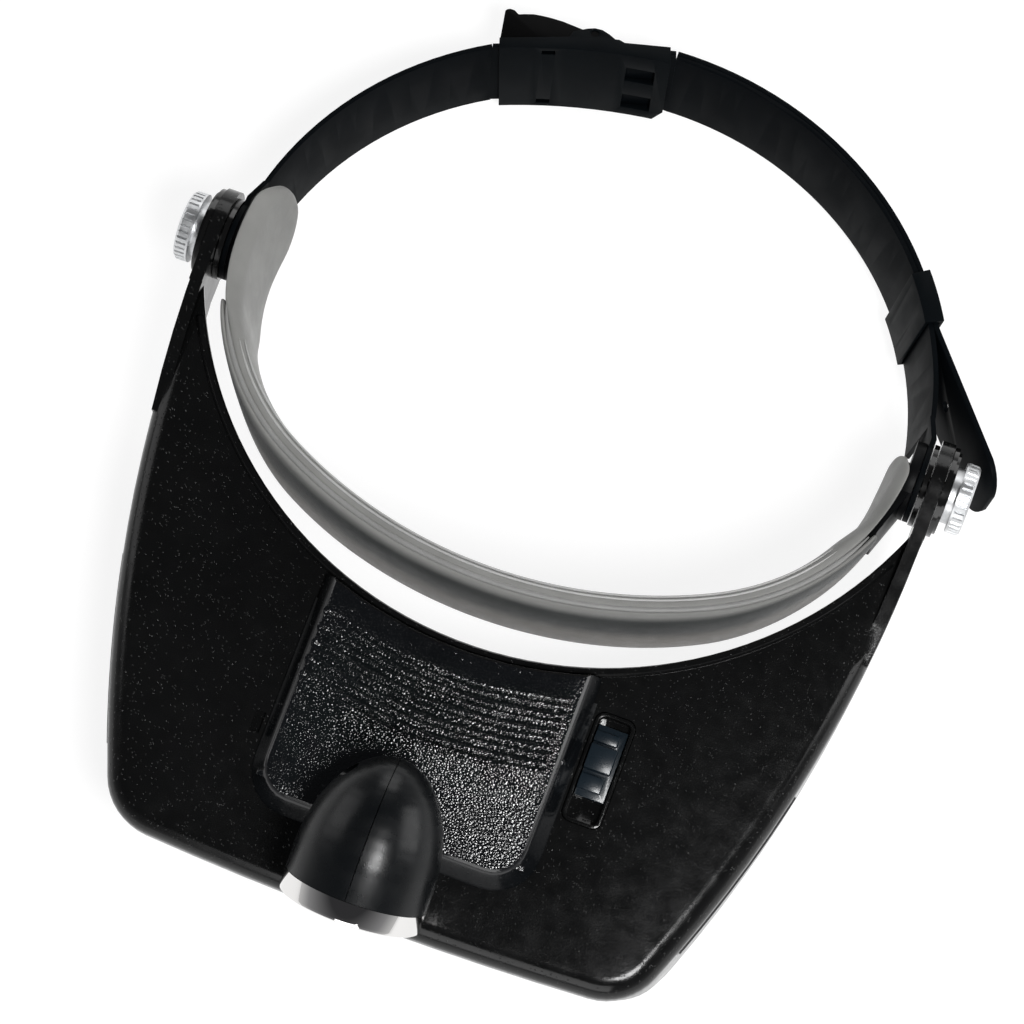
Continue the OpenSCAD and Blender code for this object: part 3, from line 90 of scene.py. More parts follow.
class Mat:
    """A material with a Principled shader and short names for its nodes."""

    def __init__(self, name, base, rough, metal=0.0, spec=0.5, ior=None, coat=0.0, sheen=0.0,
                 transmission=0.0):
        self.m = bpy.data.materials.new(name)
        self.m.use_nodes = True
        self.t = self.m.node_tree
        self.b = self.t.nodes["Principled BSDF"]
        self.set("Base Color", (*base, 1))
        self.set("Roughness", rough)
        self.set("Metallic", metal)
        self.set("Specular IOR Level", spec)
        if ior:
            self.set("IOR", ior)
        if coat:
            self.set("Coat Weight", coat)
            self.set("Coat Roughness", COAT_ROUGH)
        if sheen:
            self.set("Sheen Weight", sheen)
            self.set("Sheen Roughness", SHEEN_ROUGH)
        if transmission:
            self.set("Transmission Weight", transmission)
        self.normal = None
        self.coord = self.node("ShaderNodeTexCoord").outputs["Object"]

    def set(self, socket, value):
        self.b.inputs[socket].default_value = value

    def node(self, kind, **props):
        n = self.t.nodes.new(kind)
        for k, v in props.items():
            setattr(n, k, v)
        return n

    def link(self, a, b):
        self.t.links.new(a, b)

    def value(self, n, socket, v):
        if isinstance(v, bpy.types.NodeSocket):
            self.link(v, n.inputs[socket])
        else:
            n.inputs[socket].default_value = v

    def math(self, op, a, b):
        n = self.node("ShaderNodeMath", operation=op)
        self.value(n, 0, a)
        self.value(n, 1, b)
        return n.outputs[0]

    def scaled(self, sx, sy, sz):
        n = self.node("ShaderNodeVectorMath", operation="MULTIPLY")
        self.link(self.coord, n.inputs[0])
        n.inputs[1].default_value = (sx, sy, sz)
        return n.outputs[0]

    def noise(self, scale, detail=3.0, rough=0.55, vector=None):
        n = self.node("ShaderNodeTexNoise")
        n.inputs["Scale"].default_value = scale
        n.inputs["Detail"].default_value = detail
        n.inputs["Roughness"].default_value = rough
        self.link(vector or self.coord, n.inputs["Vector"])
        return n.outputs[0]

    def cells(self, scale, feature="F1", smooth=None, output="Distance", vector=None):
        n = self.node("ShaderNodeTexVoronoi", feature=feature)
        n.inputs["Scale"].default_value = scale
        if smooth is not None:
            n.inputs["Smoothness"].default_value = smooth
        self.link(vector or self.coord, n.inputs["Vector"])
        return n.outputs[output]

    def ramp(self, fac, stops):
        n = self.node("ShaderNodeValToRGB")
        e = n.color_ramp.elements
        while len(e) < len(stops):
            e.new(0.5)
        for i, (at, c) in enumerate(stops):
            e[i].position = at
            e[i].color = (*c, 1)
        self.link(fac, n.inputs[0])
        return n.outputs[0]

    def span(self, x, a, b, c=0.0, d=1.0):
        n = self.node("ShaderNodeMapRange", clamp=True)
        self.link(x, n.inputs["Value"])
        n.inputs["From Min"].default_value = a
        n.inputs["From Max"].default_value = b
        n.inputs["To Min"].default_value = c
        n.inputs["To Max"].default_value = d
        return n.outputs[0]

    def mix(self, fac, a, b):
        n = self.node("ShaderNodeMix", data_type="RGBA")
        self.value(n, 0, fac)
        for i, c in ((6, a), (7, b)):
            if isinstance(c, bpy.types.NodeSocket):
                self.link(c, n.inputs[i])
            else:
                n.inputs[i].default_value = (*c, 1)
        return n.outputs[2]

    def bump(self, height, depth_mm):
        n = self.node("ShaderNodeBump")
        n.inputs["Strength"].default_value = 1.0
        n.inputs["Distance"].default_value = depth_mm * MM
        self.link(height, n.inputs["Height"])
        if self.normal is not None:
            self.link(self.normal, n.inputs["Normal"])
        self.normal = n.outputs[0]
        self.link(self.normal, self.b.inputs["Normal"])

    def base(self, socket):
        self.link(socket, self.b.inputs["Base Color"])

    def rough(self, socket):
        self.link(socket, self.b.inputs["Roughness"])


def plastic(name, base, rough, grain_mm, depth, spread=0.04, spec=0.5):
    """Moulded plastic: fine spark-eroded grain, uneven gloss and faint handling marks."""
    m = Mat(name, base, rough, spec=spec)
    soft = m.noise(90, 4)
    m.base(m.ramp(soft, [(0.3, base), (0.75, tuple(c * WEAR for c in base))]))
    m.rough(m.span(m.noise(160, 3), 0.3, 0.7, rough - spread, rough + spread))
    m.bump(m.noise(1 / (grain_mm * MM), 2, 0.6), depth)
    return m


def grain(name, base, rough, cell_mm, depth, sparkle=0.0, spec=0.5, burr_depth=0.0):
    """Pebbled leather grain of moulded plastic on level faces, with a few bright burrs."""
    m = Mat(name, base, rough, spec=spec)
    scale = 1 / (cell_mm * MM)
    bend = m.node("ShaderNodeVectorMath", operation="MULTIPLY_ADD")
    warp = m.node("ShaderNodeTexNoise")
    warp.inputs["Scale"].default_value = scale * 0.6
    m.link(m.coord, warp.inputs["Vector"])
    m.link(warp.outputs["Color"], bend.inputs[0])
    bend.inputs[1].default_value = (cell_mm * MM * 0.7,) * 3
    m.link(m.coord, bend.inputs[2])
    pebble = m.cells(scale, "SMOOTH_F1", 0.35, vector=bend.outputs[0])
    facing = m.node("ShaderNodeSeparateXYZ")
    m.link(m.node("ShaderNodeTexCoord").outputs["Normal"], facing.inputs[0])
    level = m.span(facing.outputs[2], 0.86, 0.985)
    m.bump(m.math("MULTIPLY", level, m.span(pebble, 0.05, 0.75, 1, 0)), depth)
    m.bump(m.noise(scale * 3, 2), depth * 0.12)
    if sparkle:
        burr = m.cells(scale * 0.8, "F1", output="Color")
        pick = m.node("ShaderNodeSeparateColor")
        m.link(burr, pick.inputs[0])
        dome = m.span(m.cells(scale * 0.8, "F1"), 0.0, 0.42, 1, 0)
        m.bump(m.math("MULTIPLY", dome, m.span(pick.outputs[0], 1 - sparkle, 1 - sparkle + 0.01)), burr_depth)
    m.base(m.ramp(m.noise(60, 3), [(0.3, base), (0.8, tuple(c * 1.4 for c in base))]))
    m.rough(m.span(m.noise(220, 3), 0.3, 0.7, rough - GLOSS_SPREAD, rough + GLOSS_SPREAD))
    return m


# Materials
BLACK = (0.0036, 0.0037, 0.0038)
shell_m = grain("shell_grain", BLACK, 0.18, 0.42, 0.008, sparkle=0.16, spec=0.30, burr_depth=0.12)
cover_m = grain("cover_grain", (0.0034, 0.0040, 0.0048), 0.16, 0.54, 0.085, sparkle=0.08, spec=0.6,
                burr_depth=0.08)
smooth_black = plastic("smooth_black", (0.0036, 0.0036, 0.0038), 0.34, 0.3, 0.004)
band_m = plastic("band_plastic", (0.0022, 0.0024, 0.0028), 0.4, 0.3, 0.004, spec=0.08)
strap_m = plastic("strap_plastic", (0.0014, 0.0022, 0.0030), 0.5, 0.22, 0.006, spec=0.04)
buckle_m = plastic("buckle_plastic", (0.0018, 0.0028, 0.0036), 0.5, 0.22, 0.006, spec=0.05)
lever_m = plastic("lever_plastic", (0.0010, 0.0010, 0.0011), 0.45, 0.3, 0.004, spec=0.04)
gloss_m = plastic("gloss_black", (0.005, 0.005, 0.005), 0.12, 0.8, 0.003, 0.03)
bolt_m = plastic("black_oxide", (0.006, 0.006, 0.006), 0.16, 0.6, 0.004, 0.04, spec=0.7)
slider_m = plastic("slider_gloss", (0.006, 0.011, 0.016), 0.3, 0.7, 0.006, 0.05)
lamp_m = grain("lamp_satin", (0.0034, 0.0040, 0.0046), 0.28, 0.30, 0.008, spec=0.28)
frame_m = plastic("frame_satin", (0.006, 0.006, 0.0066), 0.36, 0.3, 0.005)

knob_m = Mat("knurled_aluminium", (0.66, 0.67, 0.68), 0.38, metal=1.0)
knob_m.rough(knob_m.span(knob_m.noise(500, 3), 0.3, 0.7, 0.32, 0.44))
knob_m.bump(knob_m.noise(900, 2, vector=knob_m.scaled(0.15, 1, 1)), 0.01)
knob_m.base(knob_m.ramp(knob_m.noise(260, 3), [(0.3, (0.58, 0.59, 0.60)), (0.7, (0.74, 0.75, 0.76))]))

steel_m = Mat("steel", (0.58, 0.58, 0.60), 0.3, metal=1.0)
steel_m.rough(steel_m.span(steel_m.noise(700, 3), 0.3, 0.7, 0.24, 0.38))
steel_m.bump(steel_m.noise(1500, 2), 0.004)

pin_m = plastic("dark_pin", (0.0014, 0.0014, 0.0015), 0.45, 0.3, 0.004, spec=0.05)

chrome_m = Mat("chrome", (0.78, 0.77, 0.76), 0.03, metal=1.0)
chrome_m.rough(chrome_m.span(chrome_m.noise(300, 3), 0.35, 0.75, 0.02, 0.06))
chrome_m.bump(chrome_m.noise(120, 2), 0.01)

mirror_m = Mat("reflector_mirror", (0.92, 0.92, 0.93), 0.04, metal=1.0)
mirror_m.rough(mirror_m.span(mirror_m.noise(300, 2), 0.3, 0.8, 0.03, 0.09))

contact_m = Mat("nickel", (0.72, 0.69, 0.60), 0.25, metal=1.0)
contact_m.rough(contact_m.span(contact_m.noise(600, 3), 0.3, 0.7, 0.18, 0.34))
contact_m.bump(contact_m.noise(1800, 2), 0.003)

clear_m = Mat("clear_acrylic", (0.97, 0.985, 0.985), 0.02, ior=1.49, transmission=1.0)
clear_m.rough(clear_m.span(clear_m.noise(260, 3), 0.4, 0.8, 0.01, 0.04))

led_m = Mat("led_dome", (0.93, 0.93, 0.86), 0.12, ior=1.5, transmission=0.55)
led_m.rough(led_m.span(led_m.noise(900, 2), 0.3, 0.7, 0.08, 0.18))

board_m = Mat("board_lacquer", (0.02, 0.14, 0.045), 0.28, coat=0.4)
board_m.base(board_m.ramp(board_m.noise(700, 3), [(0.35, (0.015, 0.11, 0.035)), (0.7, (0.03, 0.18, 0.06))]))

lead_m = Mat("lead_insulation", (0.40, 0.02, 0.02), 0.42)
lead_m.base(lead_m.ramp(lead_m.noise(400, 2), [(0.3, (0.34, 0.015, 0.015)), (0.7, (0.46, 0.03, 0.03))]))
lead_m.bump(lead_m.noise(2500, 2), 0.004)


def cell_material(flip):
    """Battery sleeve: a dark barrel and a copper-coloured end band."""
    m = Mat("cell_sleeve", (0.03, 0.03, 0.03), 0.28, coat=0.5)
    low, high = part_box("battery_front" if flip else "battery_rear")
    sep = m.node("ShaderNodeSeparateXYZ")
    m.link(m.coord, sep.inputs[0])
    x = m.span(sep.outputs[0], low.x, high.x, 0 if flip else 1, 1 if flip else 0)
    m.base(m.ramp(x, [(0.0, (0.5, 0.5, 0.5)), (0.02, (0.012, 0.012, 0.013)), (0.66, (0.012, 0.012, 0.013)),
                      (0.67, (0.45, 0.19, 0.07)), (0.965, (0.45, 0.19, 0.07)), (0.97, (0.6, 0.6, 0.6))]))
    m.link(m.ramp(x, [(0.0, (0.9,) * 3), (0.66, (0.35,) * 3), (0.67, (0.85,) * 3), (1.0, (0.95,) * 3)]),
           m.b.inputs["Metallic"])
    m.bump(m.noise(900, 2), 0.004)
    return m


LEATHER_SCALE = 1 / (0.42 * MM)


def leather(name, dark, light, rough, rim=False):
    """Soft leathercloth: fine creased grain; with the flag set, a painted highlight along the top and painted
    shade on the outer face, carried on the mesh.
    """
    m = Mat(name, light, rough, sheen=0.15)
    crease = m.cells(LEATHER_SCALE, "DISTANCE_TO_EDGE")
    m.bump(m.span(crease, 0.0, 0.16), 0.02)
    m.bump(m.noise(240, 4), 0.10)
    m.bump(m.noise(2600, 2), 0.008)
    tone = m.noise(70, 3)
    if rim:
        paint = m.node("ShaderNodeAttribute", attribute_name="rim").outputs["Fac"]
        # Painted light and shade round the cover: taupe lower half, upper outer face painted dark as shade,
        # top edge painted light as a highlight.
        body = m.ramp(paint, [(0.0, (0.115, 0.100, 0.085)), (0.50, (0.115, 0.105, 0.092)), (0.62, dark),
                              (0.84, dark), (0.94, (0.12, 0.12, 0.115)), (1.0, light)])
        m.base(m.mix(m.span(tone, 0.3, 0.7, 0.0, 0.12), body, (0.16, 0.16, 0.155)))
    else:
        m.base(m.ramp(tone, [(0.3, dark), (0.7, light)]))
    m.rough(m.span(m.noise(300, 3), 0.3, 0.7, rough - 0.06, rough + 0.06))
    return m


cushion_m = leather("cushion_leather", (0.195, 0.195, 0.187), (0.24, 0.24, 0.23), 0.5)
# Cover leather: its dark colour is painted shade on the outer face, its light colour a painted highlight
# along the top.
pad_m = leather("cover_leather", (0.020, 0.023, 0.023), (0.24, 0.24, 0.23), 0.50, rim=True)
welt_m = leather("welt_leather", (0.22, 0.22, 0.215), (0.26, 0.26, 0.255), 0.45)
piping_m = leather("piping_leather", (0.40, 0.40, 0.395), (0.46, 0.46, 0.455), 0.4)

DRESS = {
    "front_band": band_m, "long_strap": strap_m, "short_strap": strap_m, "strap_keeper": buckle_m,
    "buckle_body": buckle_m, "buckle_lever": lever_m, "lever_pin": pin_m, "pivot_bolts": bolt_m,
    "inner_washers": gloss_m, "outer_washers": gloss_m, "left_knob": knob_m, "right_knob": knob_m,
    "visor_shell": shell_m, "lens_frame": frame_m, "lens_plate": clear_m, "frame_screws": steel_m,
    "battery_tray": smooth_black, "tray_screws": steel_m, "battery_cover": cover_m,
    "battery_front": cell_material(True), "battery_rear": cell_material(False),
    "contact_springs": contact_m, "contact_plates": contact_m, "switch_housing": shell_m,
    "switch_slider": slider_m, "supply_leads": lead_m, "lamp_base": smooth_black, "base_screws": steel_m,
    "lamp_pin": steel_m, "lamp_shell_left": lamp_m, "lamp_shell_right": lamp_m, "lamp_screws": steel_m,
    "lamp_ring": chrome_m, "lamp_reflector": mirror_m, "lamp_lens": clear_m, "lamp_led": led_m,
    "led_board": board_m,
}


SMOOTH_DEG = 40.0
WELD_M = 2e-6
FLAT_DEG = 0.6
BEVEL_DEG = 32.0
BEVEL_SEGMENTS = 2


def smooth_group():
    """A node group that shades faces smooth, apart from edges sharper than SMOOTH_DEG."""
    g = bpy.data.node_groups.new("smooth_40", "GeometryNodeTree")
    g.interface.new_socket("Geometry", in_out="INPUT", socket_type="NodeSocketGeometry")
    g.interface.new_socket("Geometry", in_out="OUTPUT", socket_type="NodeSocketGeometry")
    i = g.nodes.new("NodeGroupInput")
    o = g.nodes.new("NodeGroupOutput")
    angle = g.nodes.new("GeometryNodeInputMeshEdgeAngle")
    less = g.nodes.new("FunctionNodeCompare")
    less.data_type = "FLOAT"
    less.operation = "LESS_EQUAL"
    less.inputs["B"].default_value = math.radians(SMOOTH_DEG)
    face = g.nodes.new("GeometryNodeSetShadeSmooth")
    face.domain = "FACE"
    face.inputs["Shade Smooth"].default_value = True
    edge = g.nodes.new("GeometryNodeSetShadeSmooth")
    edge.domain = "EDGE"
    g.links.new(i.outputs[0], face.inputs["Geometry"])
    g.links.new(face.outputs[0], edge.inputs["Geometry"])
    g.links.new(angle.outputs["Unsigned Angle"], less.inputs["A"])
    g.links.new(less.outputs["Result"], edge.inputs["Shade Smooth"])
    g.links.new(edge.outputs[0], o.inputs[0])
    return g


SMOOTH = smooth_group()


def soften(obj, width_mm):
    """Rounds the sharp edges of a CAD node and shades the rest smooth, with modifiers only."""
    w = obj.modifiers.new("weld", "WELD")
    w.merge_threshold = WELD_M
    if width_mm:
        d = obj.modifiers.new("merge", "DECIMATE")
        d.decimate_type = "DISSOLVE"
        d.angle_limit = math.radians(FLAT_DEG)
        b = obj.modifiers.new("round", "BEVEL")
        b.width = width_mm * MM
        b.segments = BEVEL_SEGMENTS
        b.limit_method = "ANGLE"
        b.angle_limit = math.radians(BEVEL_DEG)
        b.miter_outer = "MITER_ARC"
        b.use_clamp_overlap = True
    s = obj.modifiers.new("shade", "NODES")
    s.node_group = SMOOTH


# Widths of the rounded edges, in millimetres
EDGES = {
    "battery_cover": 0.25, "switch_slider": 0.2, "switch_housing": 0.2, "buckle_lever": 0.3,
    "buckle_body": 0.2, "lamp_base": 0.25, "front_band": 0.25, "strap_keeper": 0.2,
    "long_strap": 0.18, "short_strap": 0.18,
}

for name, material in DRESS.items():
    obj = NODE[name]
    obj.data.materials.clear()
    obj.data.materials.append(material.m)
    soften(obj, EDGES.get(name, 0))

# Numbers of the headband, in millimetres, as in the CAD source
HEAD_W, DEPTH, TEMPLE = 82.0, 64.0, 58.0
LEAN = math.tan(math.radians(7.9))
STRAP_Z0, STRAP_T = -15.2, 1.2
TILT = math.radians(13.0)
BAND_Z1, PAD_HALF = 9.5, 12.8
CUSHION_D, COVER_D, WING_T, WING_LEAN = 3.8, 3.0, 1.8, 5.0
GAP = 0.3
MID_O = -2.2
BAND_O = MID_O - STRAP_T / 2
FRONT_R = ((HEAD_W - TEMPLE) ** 2 + DEPTH ** 2 - TEMPLE ** 2) / (2 * (DEPTH - TEMPLE))
FRONT_Y = FRONT_R - DEPTH
TEMPLE_X = HEAD_W - TEMPLE
SPLIT = math.degrees(math.atan2(FRONT_Y, TEMPLE_X))
PIVOT = Vector((-3.15953, 29.903, 35.0294))
WING_O = -0.8 - GAP - (4.0 - STRAP_Z0) * LEAN


def smoothstep(t):
    t = min(1.0, max(0.0, t))
    return t * t * (3 - 2 * t)


def mix(a, b, w):
    return a + (b - a) * w


def arc(th):
    """Centre and radius of the headband's curve whose normal has this direction."""
    if th < 180:
        return (0, 0), HEAD_W
    if th < 180 + SPLIT:
        return (-TEMPLE_X, 0), TEMPLE
    if th < 360 - SPLIT:
        return (0, FRONT_Y), FRONT_R
    if th < 360:
        return (TEMPLE_X, 0), TEMPLE
    return (0, 0), HEAD_W


def band_point(th, o, z, extra=0.0, curl=0.0):
    """A point of the headband in the row frame, in metres."""
    c, r = arc(th)
    d = (r + o + (z - STRAP_Z0) * LEAN + min(0.0, z - BAND_Z1) * math.tan(math.radians(extra))
         + max(0.0, z - BAND_Z1 - GAP) * curl)
    a = math.radians(th)
    x, y = c[0] + d * math.cos(a), c[1] + d * math.sin(a)
    return (Vector((x, y * math.cos(TILT) + z * math.sin(TILT), z * math.cos(TILT) - y * math.sin(TILT)))
            + PIVOT) * MM


def arc_steps(a, b, n):
    """Directions from a to b with even spacing along the curve."""
    fine = [a + (b - a) * i / 2000 for i in range(2001)]
    run = [0.0]
    for i in range(1, 2001):
        run.append(run[-1] + math.radians(fine[i] - fine[i - 1]) * arc(fine[i])[1])
    return list(np.interp([run[-1] * i / n for i in range(n + 1)], run, fine))


LEFT_END, RIGHT_END, BODY_FROM, BODY_TO = 168.0, 363.0, 203.0, 337.0
BLEND_DEG = 9.0
LEFT_CURL, RIGHT_CURL = 0.9, 0.5
FRONT_DEG = 270.0


def bodiness(th):
    return smoothstep((th - BODY_FROM) / BLEND_DEG + 0.5) * smoothstep((BODY_TO - th) / BLEND_DEG + 0.5)


def loft(name, rings, material):
    """A mesh over rings of points, closed round each ring and capped at both ends."""
    bm = bmesh.new()
    grid = [[bm.verts.new(p) for p in ring] for ring in rings]
    n = len(rings[0])
    for i in range(len(rings) - 1):
        for k in range(n):
            j = (k + 1) % n
            bm.faces.new((grid[i][k], grid[i][j], grid[i + 1][j], grid[i + 1][k]))
    bm.faces.new(grid[0][::-1])
    bm.faces.new(grid[-1])
    bmesh.ops.recalc_face_normals(bm, faces=bm.faces)
    me = bpy.data.meshes.new(name)
    bm.to_mesh(me)
    bm.free()
    me.materials.append(material.m)
    me.polygons.foreach_set("use_smooth", [True] * len(me.polygons))
    obj = bpy.data.objects.new(name, me)
    SCENE.collection.objects.link(obj)
    return obj


def cushion_section(th):
    """Offsets and heights of the cushion's section: flat against the band, crowned towards the head."""
    w = bodiness(th)
    e = min(th - LEFT_END, RIGHT_END - th) / 8
    u = 1 - min(1.0, max(0.04, e))
    taper = math.sqrt(1 - u * u)
    h = PAD_HALF * mix(0.96, 1, w) * taper
    face = mix(WING_O, MID_O - 0.15, w)
    deep = mix(WING_O, BAND_O - GAP / 2, w)
    d = mix(WING_T, CUSHION_D, w)
    rz = min(BAND_Z1 + GAP, h - 0.6 * taper)
    back = [(face, -h + 0.5 * taper), (face, -rz), (deep, -rz + 0.05), (deep, -rz * 0.5), (deep, 0),
            (deep, rz * 0.5), (deep, rz - 0.05), (face, rz), (face, h - 0.5 * taper)]
    crown = []
    for i in range(17):
        a = math.radians(90 - 180 * i / 16)
        crown.append((deep - 0.2 - d * math.cos(a) ** 0.6 if abs(math.cos(a)) > 1e-6 else deep - 0.2,
                      h * math.copysign(abs(math.sin(a)) ** 0.82, math.sin(a))))
    lean = (WING_LEAN if th < FRONT_DEG else 0.0) * (1 - w)
    curl = (LEFT_CURL if th < FRONT_DEG else RIGHT_CURL) * (1 - w)
    return [band_point(th, o, z, lean, curl) for o, z in back + crown], len(back)


COVER_FROM, COVER_TO = BODY_FROM - 4, BODY_TO + 3


def cover_section(th):
    """The outer cover's section: flat against the band, crowned away from the head."""
    e = min(th - COVER_FROM, COVER_TO - th)
    u = 1 - min(1.0, max(0.05, e / 9))
    s = math.sqrt(1 - u * u)
    h = PAD_HALF * mix(0.8, 1, s)
    deep = BAND_O + STRAP_T + GAP / 2
    face = mix(deep, MID_O + 0.15, s)
    d = mix(0.9, mix(1, COVER_D, smoothstep((e - 14) / 40)), s)
    rz = min(BAND_Z1 + GAP, h - 0.6)
    back = [(face, h - 0.5), (face, rz), (deep, rz - 0.05), (deep, rz * 0.5), (deep, 0), (deep, -rz * 0.5),
            (deep, -rz + 0.05), (face, -rz), (face, -h + 0.5)]
    crown, paint = [], []
    for i in range(21):
        a = math.radians(-90 + 180 * i / 20)
        crown.append((deep + 0.2 + d * max(0.0, math.cos(a)) ** 0.6,
                      h * math.copysign(abs(math.sin(a)) ** 0.85, math.sin(a))))
        paint.append(i / 20)
    # Height round the section that places the painted highlight and painted shade: 0 at the bottom, 1 at the
    # top and on the upper back.
    paint = [1.0] * 4 + [0.5] + [0.0] * 4 + paint
    return [band_point(th, o, z) for o, z in back + crown], len(back), paint


CLOTH_FRAMES = 20
CLOTH_PRESSURE = 4.0


def puff(obj, pinned, cap_mm):
    """Blows a sewn piece up with the cloth solver, caps how far a point moves and applies the result."""
    rest = np.array([v.co for v in obj.data.vertices], float)
    group = obj.vertex_groups.new(name="sewn")
    group.add([int(i) for i in pinned], 1.0, "REPLACE")
    mod = obj.modifiers.new("cloth", "CLOTH")
    s = mod.settings
    s.quality = 5
    s.mass = 0.2
    s.tension_stiffness = 12
    s.compression_stiffness = 12
    s.shear_stiffness = 6
    s.bending_stiffness = 1.5
    s.vertex_group_mass = "sewn"
    s.use_pressure = True
    s.uniform_pressure_force = CLOTH_PRESSURE
    s.effector_weights.gravity = 0
    mod.collision_settings.use_collision = False
    mod.point_cache.frame_start = 1
    mod.point_cache.frame_end = CLOTH_FRAMES
    for f in range(1, CLOTH_FRAMES + 1):
        SCENE.frame_set(f)
    dg = bpy.context.evaluated_depsgraph_get()
    e = obj.evaluated_get(dg)
    got = np.array([v.co for v in e.data.vertices], float)
    obj.modifiers.remove(mod)
    SCENE.frame_set(1)
    move = got - rest
    size = np.linalg.norm(move, axis=1)
    size[size == 0] = 1
    scale = np.minimum(1.0, cap_mm * MM / size)
    new = rest + move * scale[:, None]
    obj.data.vertices.foreach_set("co", new.astype(np.float32).ravel())
    obj.data.update()
    obj.vertex_groups.clear()


def subdivide(obj):
    m = obj.modifiers.new("subdivide", "SUBSURF")
    m.levels = 1
    m.render_levels = 1


def sewn_points(sections, flat_n):
    """Points of a padded piece that stay where they are: its flat back and its first and last rings."""
    rings, ring_n = len(sections), len(sections[0][0])
    held = {i * ring_n + k for i in range(rings) for k in range(ring_n) if k <= flat_n or k == ring_n - 1}
    ends = (0, 1, 2, rings - 3, rings - 2, rings - 1)
    held |= {i * ring_n + k for i in ends for k in range(ring_n)}
    return sorted(held)


# Forehead pad: the cushion that faces the head
steps = arc_steps(LEFT_END + 0.3, RIGHT_END - 0.3, 150)
sections = [cushion_section(th) for th in steps]
nb = sections[0][1]
cushion = loft("pad_cushion", [s[0] for s in sections], cushion_m)
puff(cushion, sewn_points(sections, nb), 0.8)
subdivide(cushion)
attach(cushion, "headband")
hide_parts("forehead_pad")

# Forehead pad: the cover on its outer face
steps = arc_steps(COVER_FROM + 0.2, COVER_TO - 0.2, 130)
sections = [cover_section(th) for th in steps]
nb = sections[0][1]
cover = loft("pad_cover_skin", [s[0] for s in sections], pad_m)
# Stores the height that places the painted highlight and painted shade on the cover.
rim = cover.data.attributes.new("rim", "FLOAT", "POINT")
rim.data.foreach_set("value", [p for s in sections for p in s[2]])
puff(cover, sewn_points(sections, nb), 0.5)
subdivide(cover)
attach(cover, "headband")
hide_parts("pad_cover")


BEAD_SIDES = 8


def bead(name, path, radius_mm, material):
    """A thin round bead along a path of points."""
    rings = []
    up = Vector((0, 0, 1))
    for i, p in enumerate(path):
        t = (path[min(i + 1, len(path) - 1)] - path[max(i - 1, 0)]).normalized()
        n = t.cross(up).normalized()
        b = t.cross(n)
        fade = min(1.0, 0.25 + 0.75 * min(i, len(path) - 1 - i) / 6)
        rings.append([p + (n * math.cos(a) + b * math.sin(a)) * radius_mm * MM * fade
                      for a in (2 * math.pi * k / BEAD_SIDES for k in range(BEAD_SIDES))])
    obj = loft(name, rings, material)
    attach(obj, "headband")


# Welt that closes the seam between cushion and cover, above and below the band
for label, sign in (("upper", 1), ("lower", -1)):
    path = [band_point(th, MID_O, sign * (PAD_HALF - 0.45))
            for th in arc_steps(COVER_FROM + 3, COVER_TO - 3, 120)]
    bead("pad_welt_" + label, path, 0.65, welt_m)

# Piping along the cushion's upper edge
for label, offset, height in (("outer", 1.75, 0.3), ("inner", 2.85, 0.95)):
    path = [band_point(th, BAND_O - offset, PAD_HALF - height)
            for th in arc_steps(BODY_FROM + 8, BODY_TO - 8, 120)]
    bead("pad_piping_" + label, path, 0.28, piping_m)

# Floor that keeps the object's shadow and shows white
floor_m = Mat("floor_white", (0.9, 0.9, 0.9), 0.9, spec=0.0)
tree = floor_m.t
out = tree.nodes["Material Output"]
lightpath = floor_m.node("ShaderNodeLightPath")
seen = floor_m.math("MAXIMUM", floor_m.math("MAXIMUM", lightpath.outputs["Is Camera Ray"],
                                            lightpath.outputs["Is Glossy Ray"]),
                    lightpath.outputs["Is Transmission Ray"])
glow = floor_m.node("ShaderNodeEmission")
glow.inputs["Color"].default_value = (1, 1, 1, 1)
glow.inputs["Strength"].default_value = 0.84
paint = floor_m.node("ShaderNodeBsdfDiffuse")
paint.inputs["Color"].default_value = (0.24, 0.24, 0.24, 1)
add = floor_m.node("ShaderNodeAddShader")
tree.links.new(glow.outputs[0], add.inputs[0])
tree.links.new(paint.outputs[0], add.inputs[1])
plain = floor_m.node("ShaderNodeBsdfDiffuse")
plain.inputs["Color"].default_value = (0.6, 0.6, 0.6, 1)
choose = floor_m.node("ShaderNodeMixShader")
tree.links.new(seen, choose.inputs[0])
tree.links.new(plain.outputs[0], choose.inputs[1])
tree.links.new(add.outputs[0], choose.inputs[2])
tree.links.new(choose.outputs[0], out.inputs["Surface"])
FLOOR_HALF = 6.0
FLOOR_DROP = 0.0002
floor_mesh = bpy.data.meshes.new("floor")
corners = [(-1, -1), (1, -1), (1, 1), (-1, 1)]
floor_mesh.from_pydata([(x * FLOOR_HALF, y * FLOOR_HALF, 0) for x, y in corners], [], [(0, 1, 2, 3)])
floor_mesh.materials.append(floor_m.m)
floor = bpy.data.objects.new("floor", floor_mesh)
SCENE.collection.objects.link(floor)
floor.location.z = cad_low.z - FLOOR_DROP

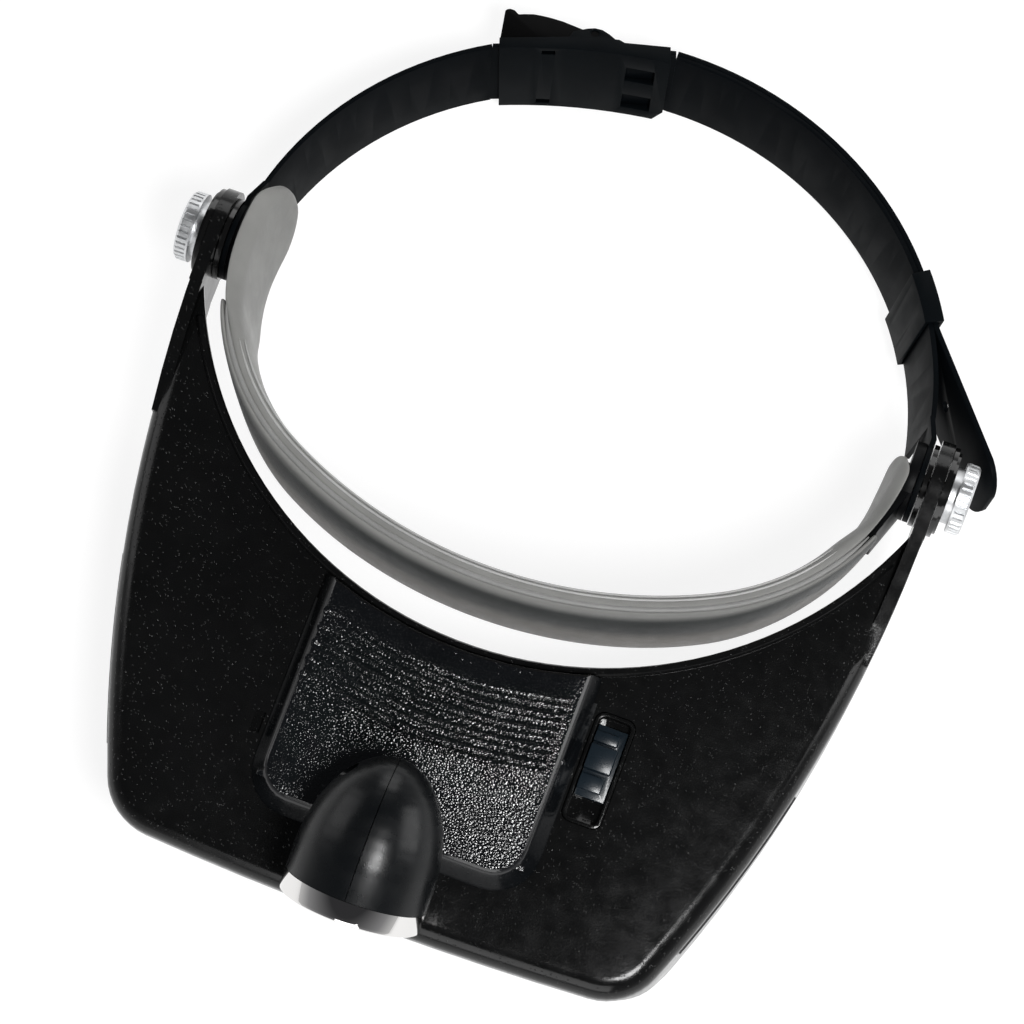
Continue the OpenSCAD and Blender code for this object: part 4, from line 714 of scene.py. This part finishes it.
# World: white where it is seen, a dark ceiling for the light and the reflections
world = bpy.data.worlds.new("studio")
SCENE.world = world
world.use_nodes = True
wt = world.node_tree
wt.nodes.clear()
wout = wt.nodes.new("ShaderNodeOutputWorld")
wlp = wt.nodes.new("ShaderNodeLightPath")
wco = wt.nodes.new("ShaderNodeTexCoord")
wsep = wt.nodes.new("ShaderNodeSeparateXYZ")
wt.links.new(wco.outputs["Generated"], wsep.inputs[0])
wr = wt.nodes.new("ShaderNodeValToRGB")
wr.color_ramp.elements[0].position = 0.02
wr.color_ramp.elements[0].color = (1, 1, 1, 1)
wr.color_ramp.elements[1].position = 0.75
wr.color_ramp.elements[1].color = (0.06, 0.06, 0.064, 1)
mid = wr.color_ramp.elements.new(0.3)
mid.color = (0.45, 0.45, 0.46, 1)
wt.links.new(wsep.outputs[2], wr.inputs[0])
wglow = wt.nodes.new("ShaderNodeBackground")
wglow.inputs["Strength"].default_value = 0.55
wt.links.new(wr.outputs[0], wglow.inputs["Color"])
wwhite = wt.nodes.new("ShaderNodeBackground")
wwhite.inputs["Color"].default_value = (1, 1, 1, 1)
wwhite.inputs["Strength"].default_value = 1.0
wmix = wt.nodes.new("ShaderNodeMixShader")
wt.links.new(wlp.outputs["Is Camera Ray"], wmix.inputs[0])
wt.links.new(wglow.outputs[0], wmix.inputs[1])
wt.links.new(wwhite.outputs[0], wmix.inputs[2])
wt.links.new(wmix.outputs[0], wout.inputs["Surface"])


def lamp(name, at, aim, size, power, disk=False):
    """A soft white light that points from one place to another."""
    d = bpy.data.lights.new(name, "AREA")
    d.energy = power
    d.shape = "DISK" if disk else "SQUARE"
    d.size = size
    o = bpy.data.objects.new(name, d)
    SCENE.collection.objects.link(o)
    o.location = at
    o.rotation_mode = "QUATERNION"
    o.rotation_quaternion = (Vector(aim) - Vector(at)).to_track_quat("-Z", "Y")


lamp("key", (0.37, -0.30, 1.1), (0.0, -0.03, 0.04), 0.30, 9.0, disk=True)
lamp("fill_left", (-1.3, 0.3, 0.75), (0, 0, 0.03), 0.9, 3.5)
lamp("fill_right", (1.25, 0.45, 0.7), (0, 0, 0.03), 0.9, 7.0)
lamp("fill_front", (0.2, -1.4, 0.7), (0, 0, 0.03), 0.9, 6.0)
lamp("fill_rear", (-0.1, 1.5, 0.8), (0, 0, 0.03), 0.9, 5.0)

SCENE.view_settings.view_transform = "Standard"
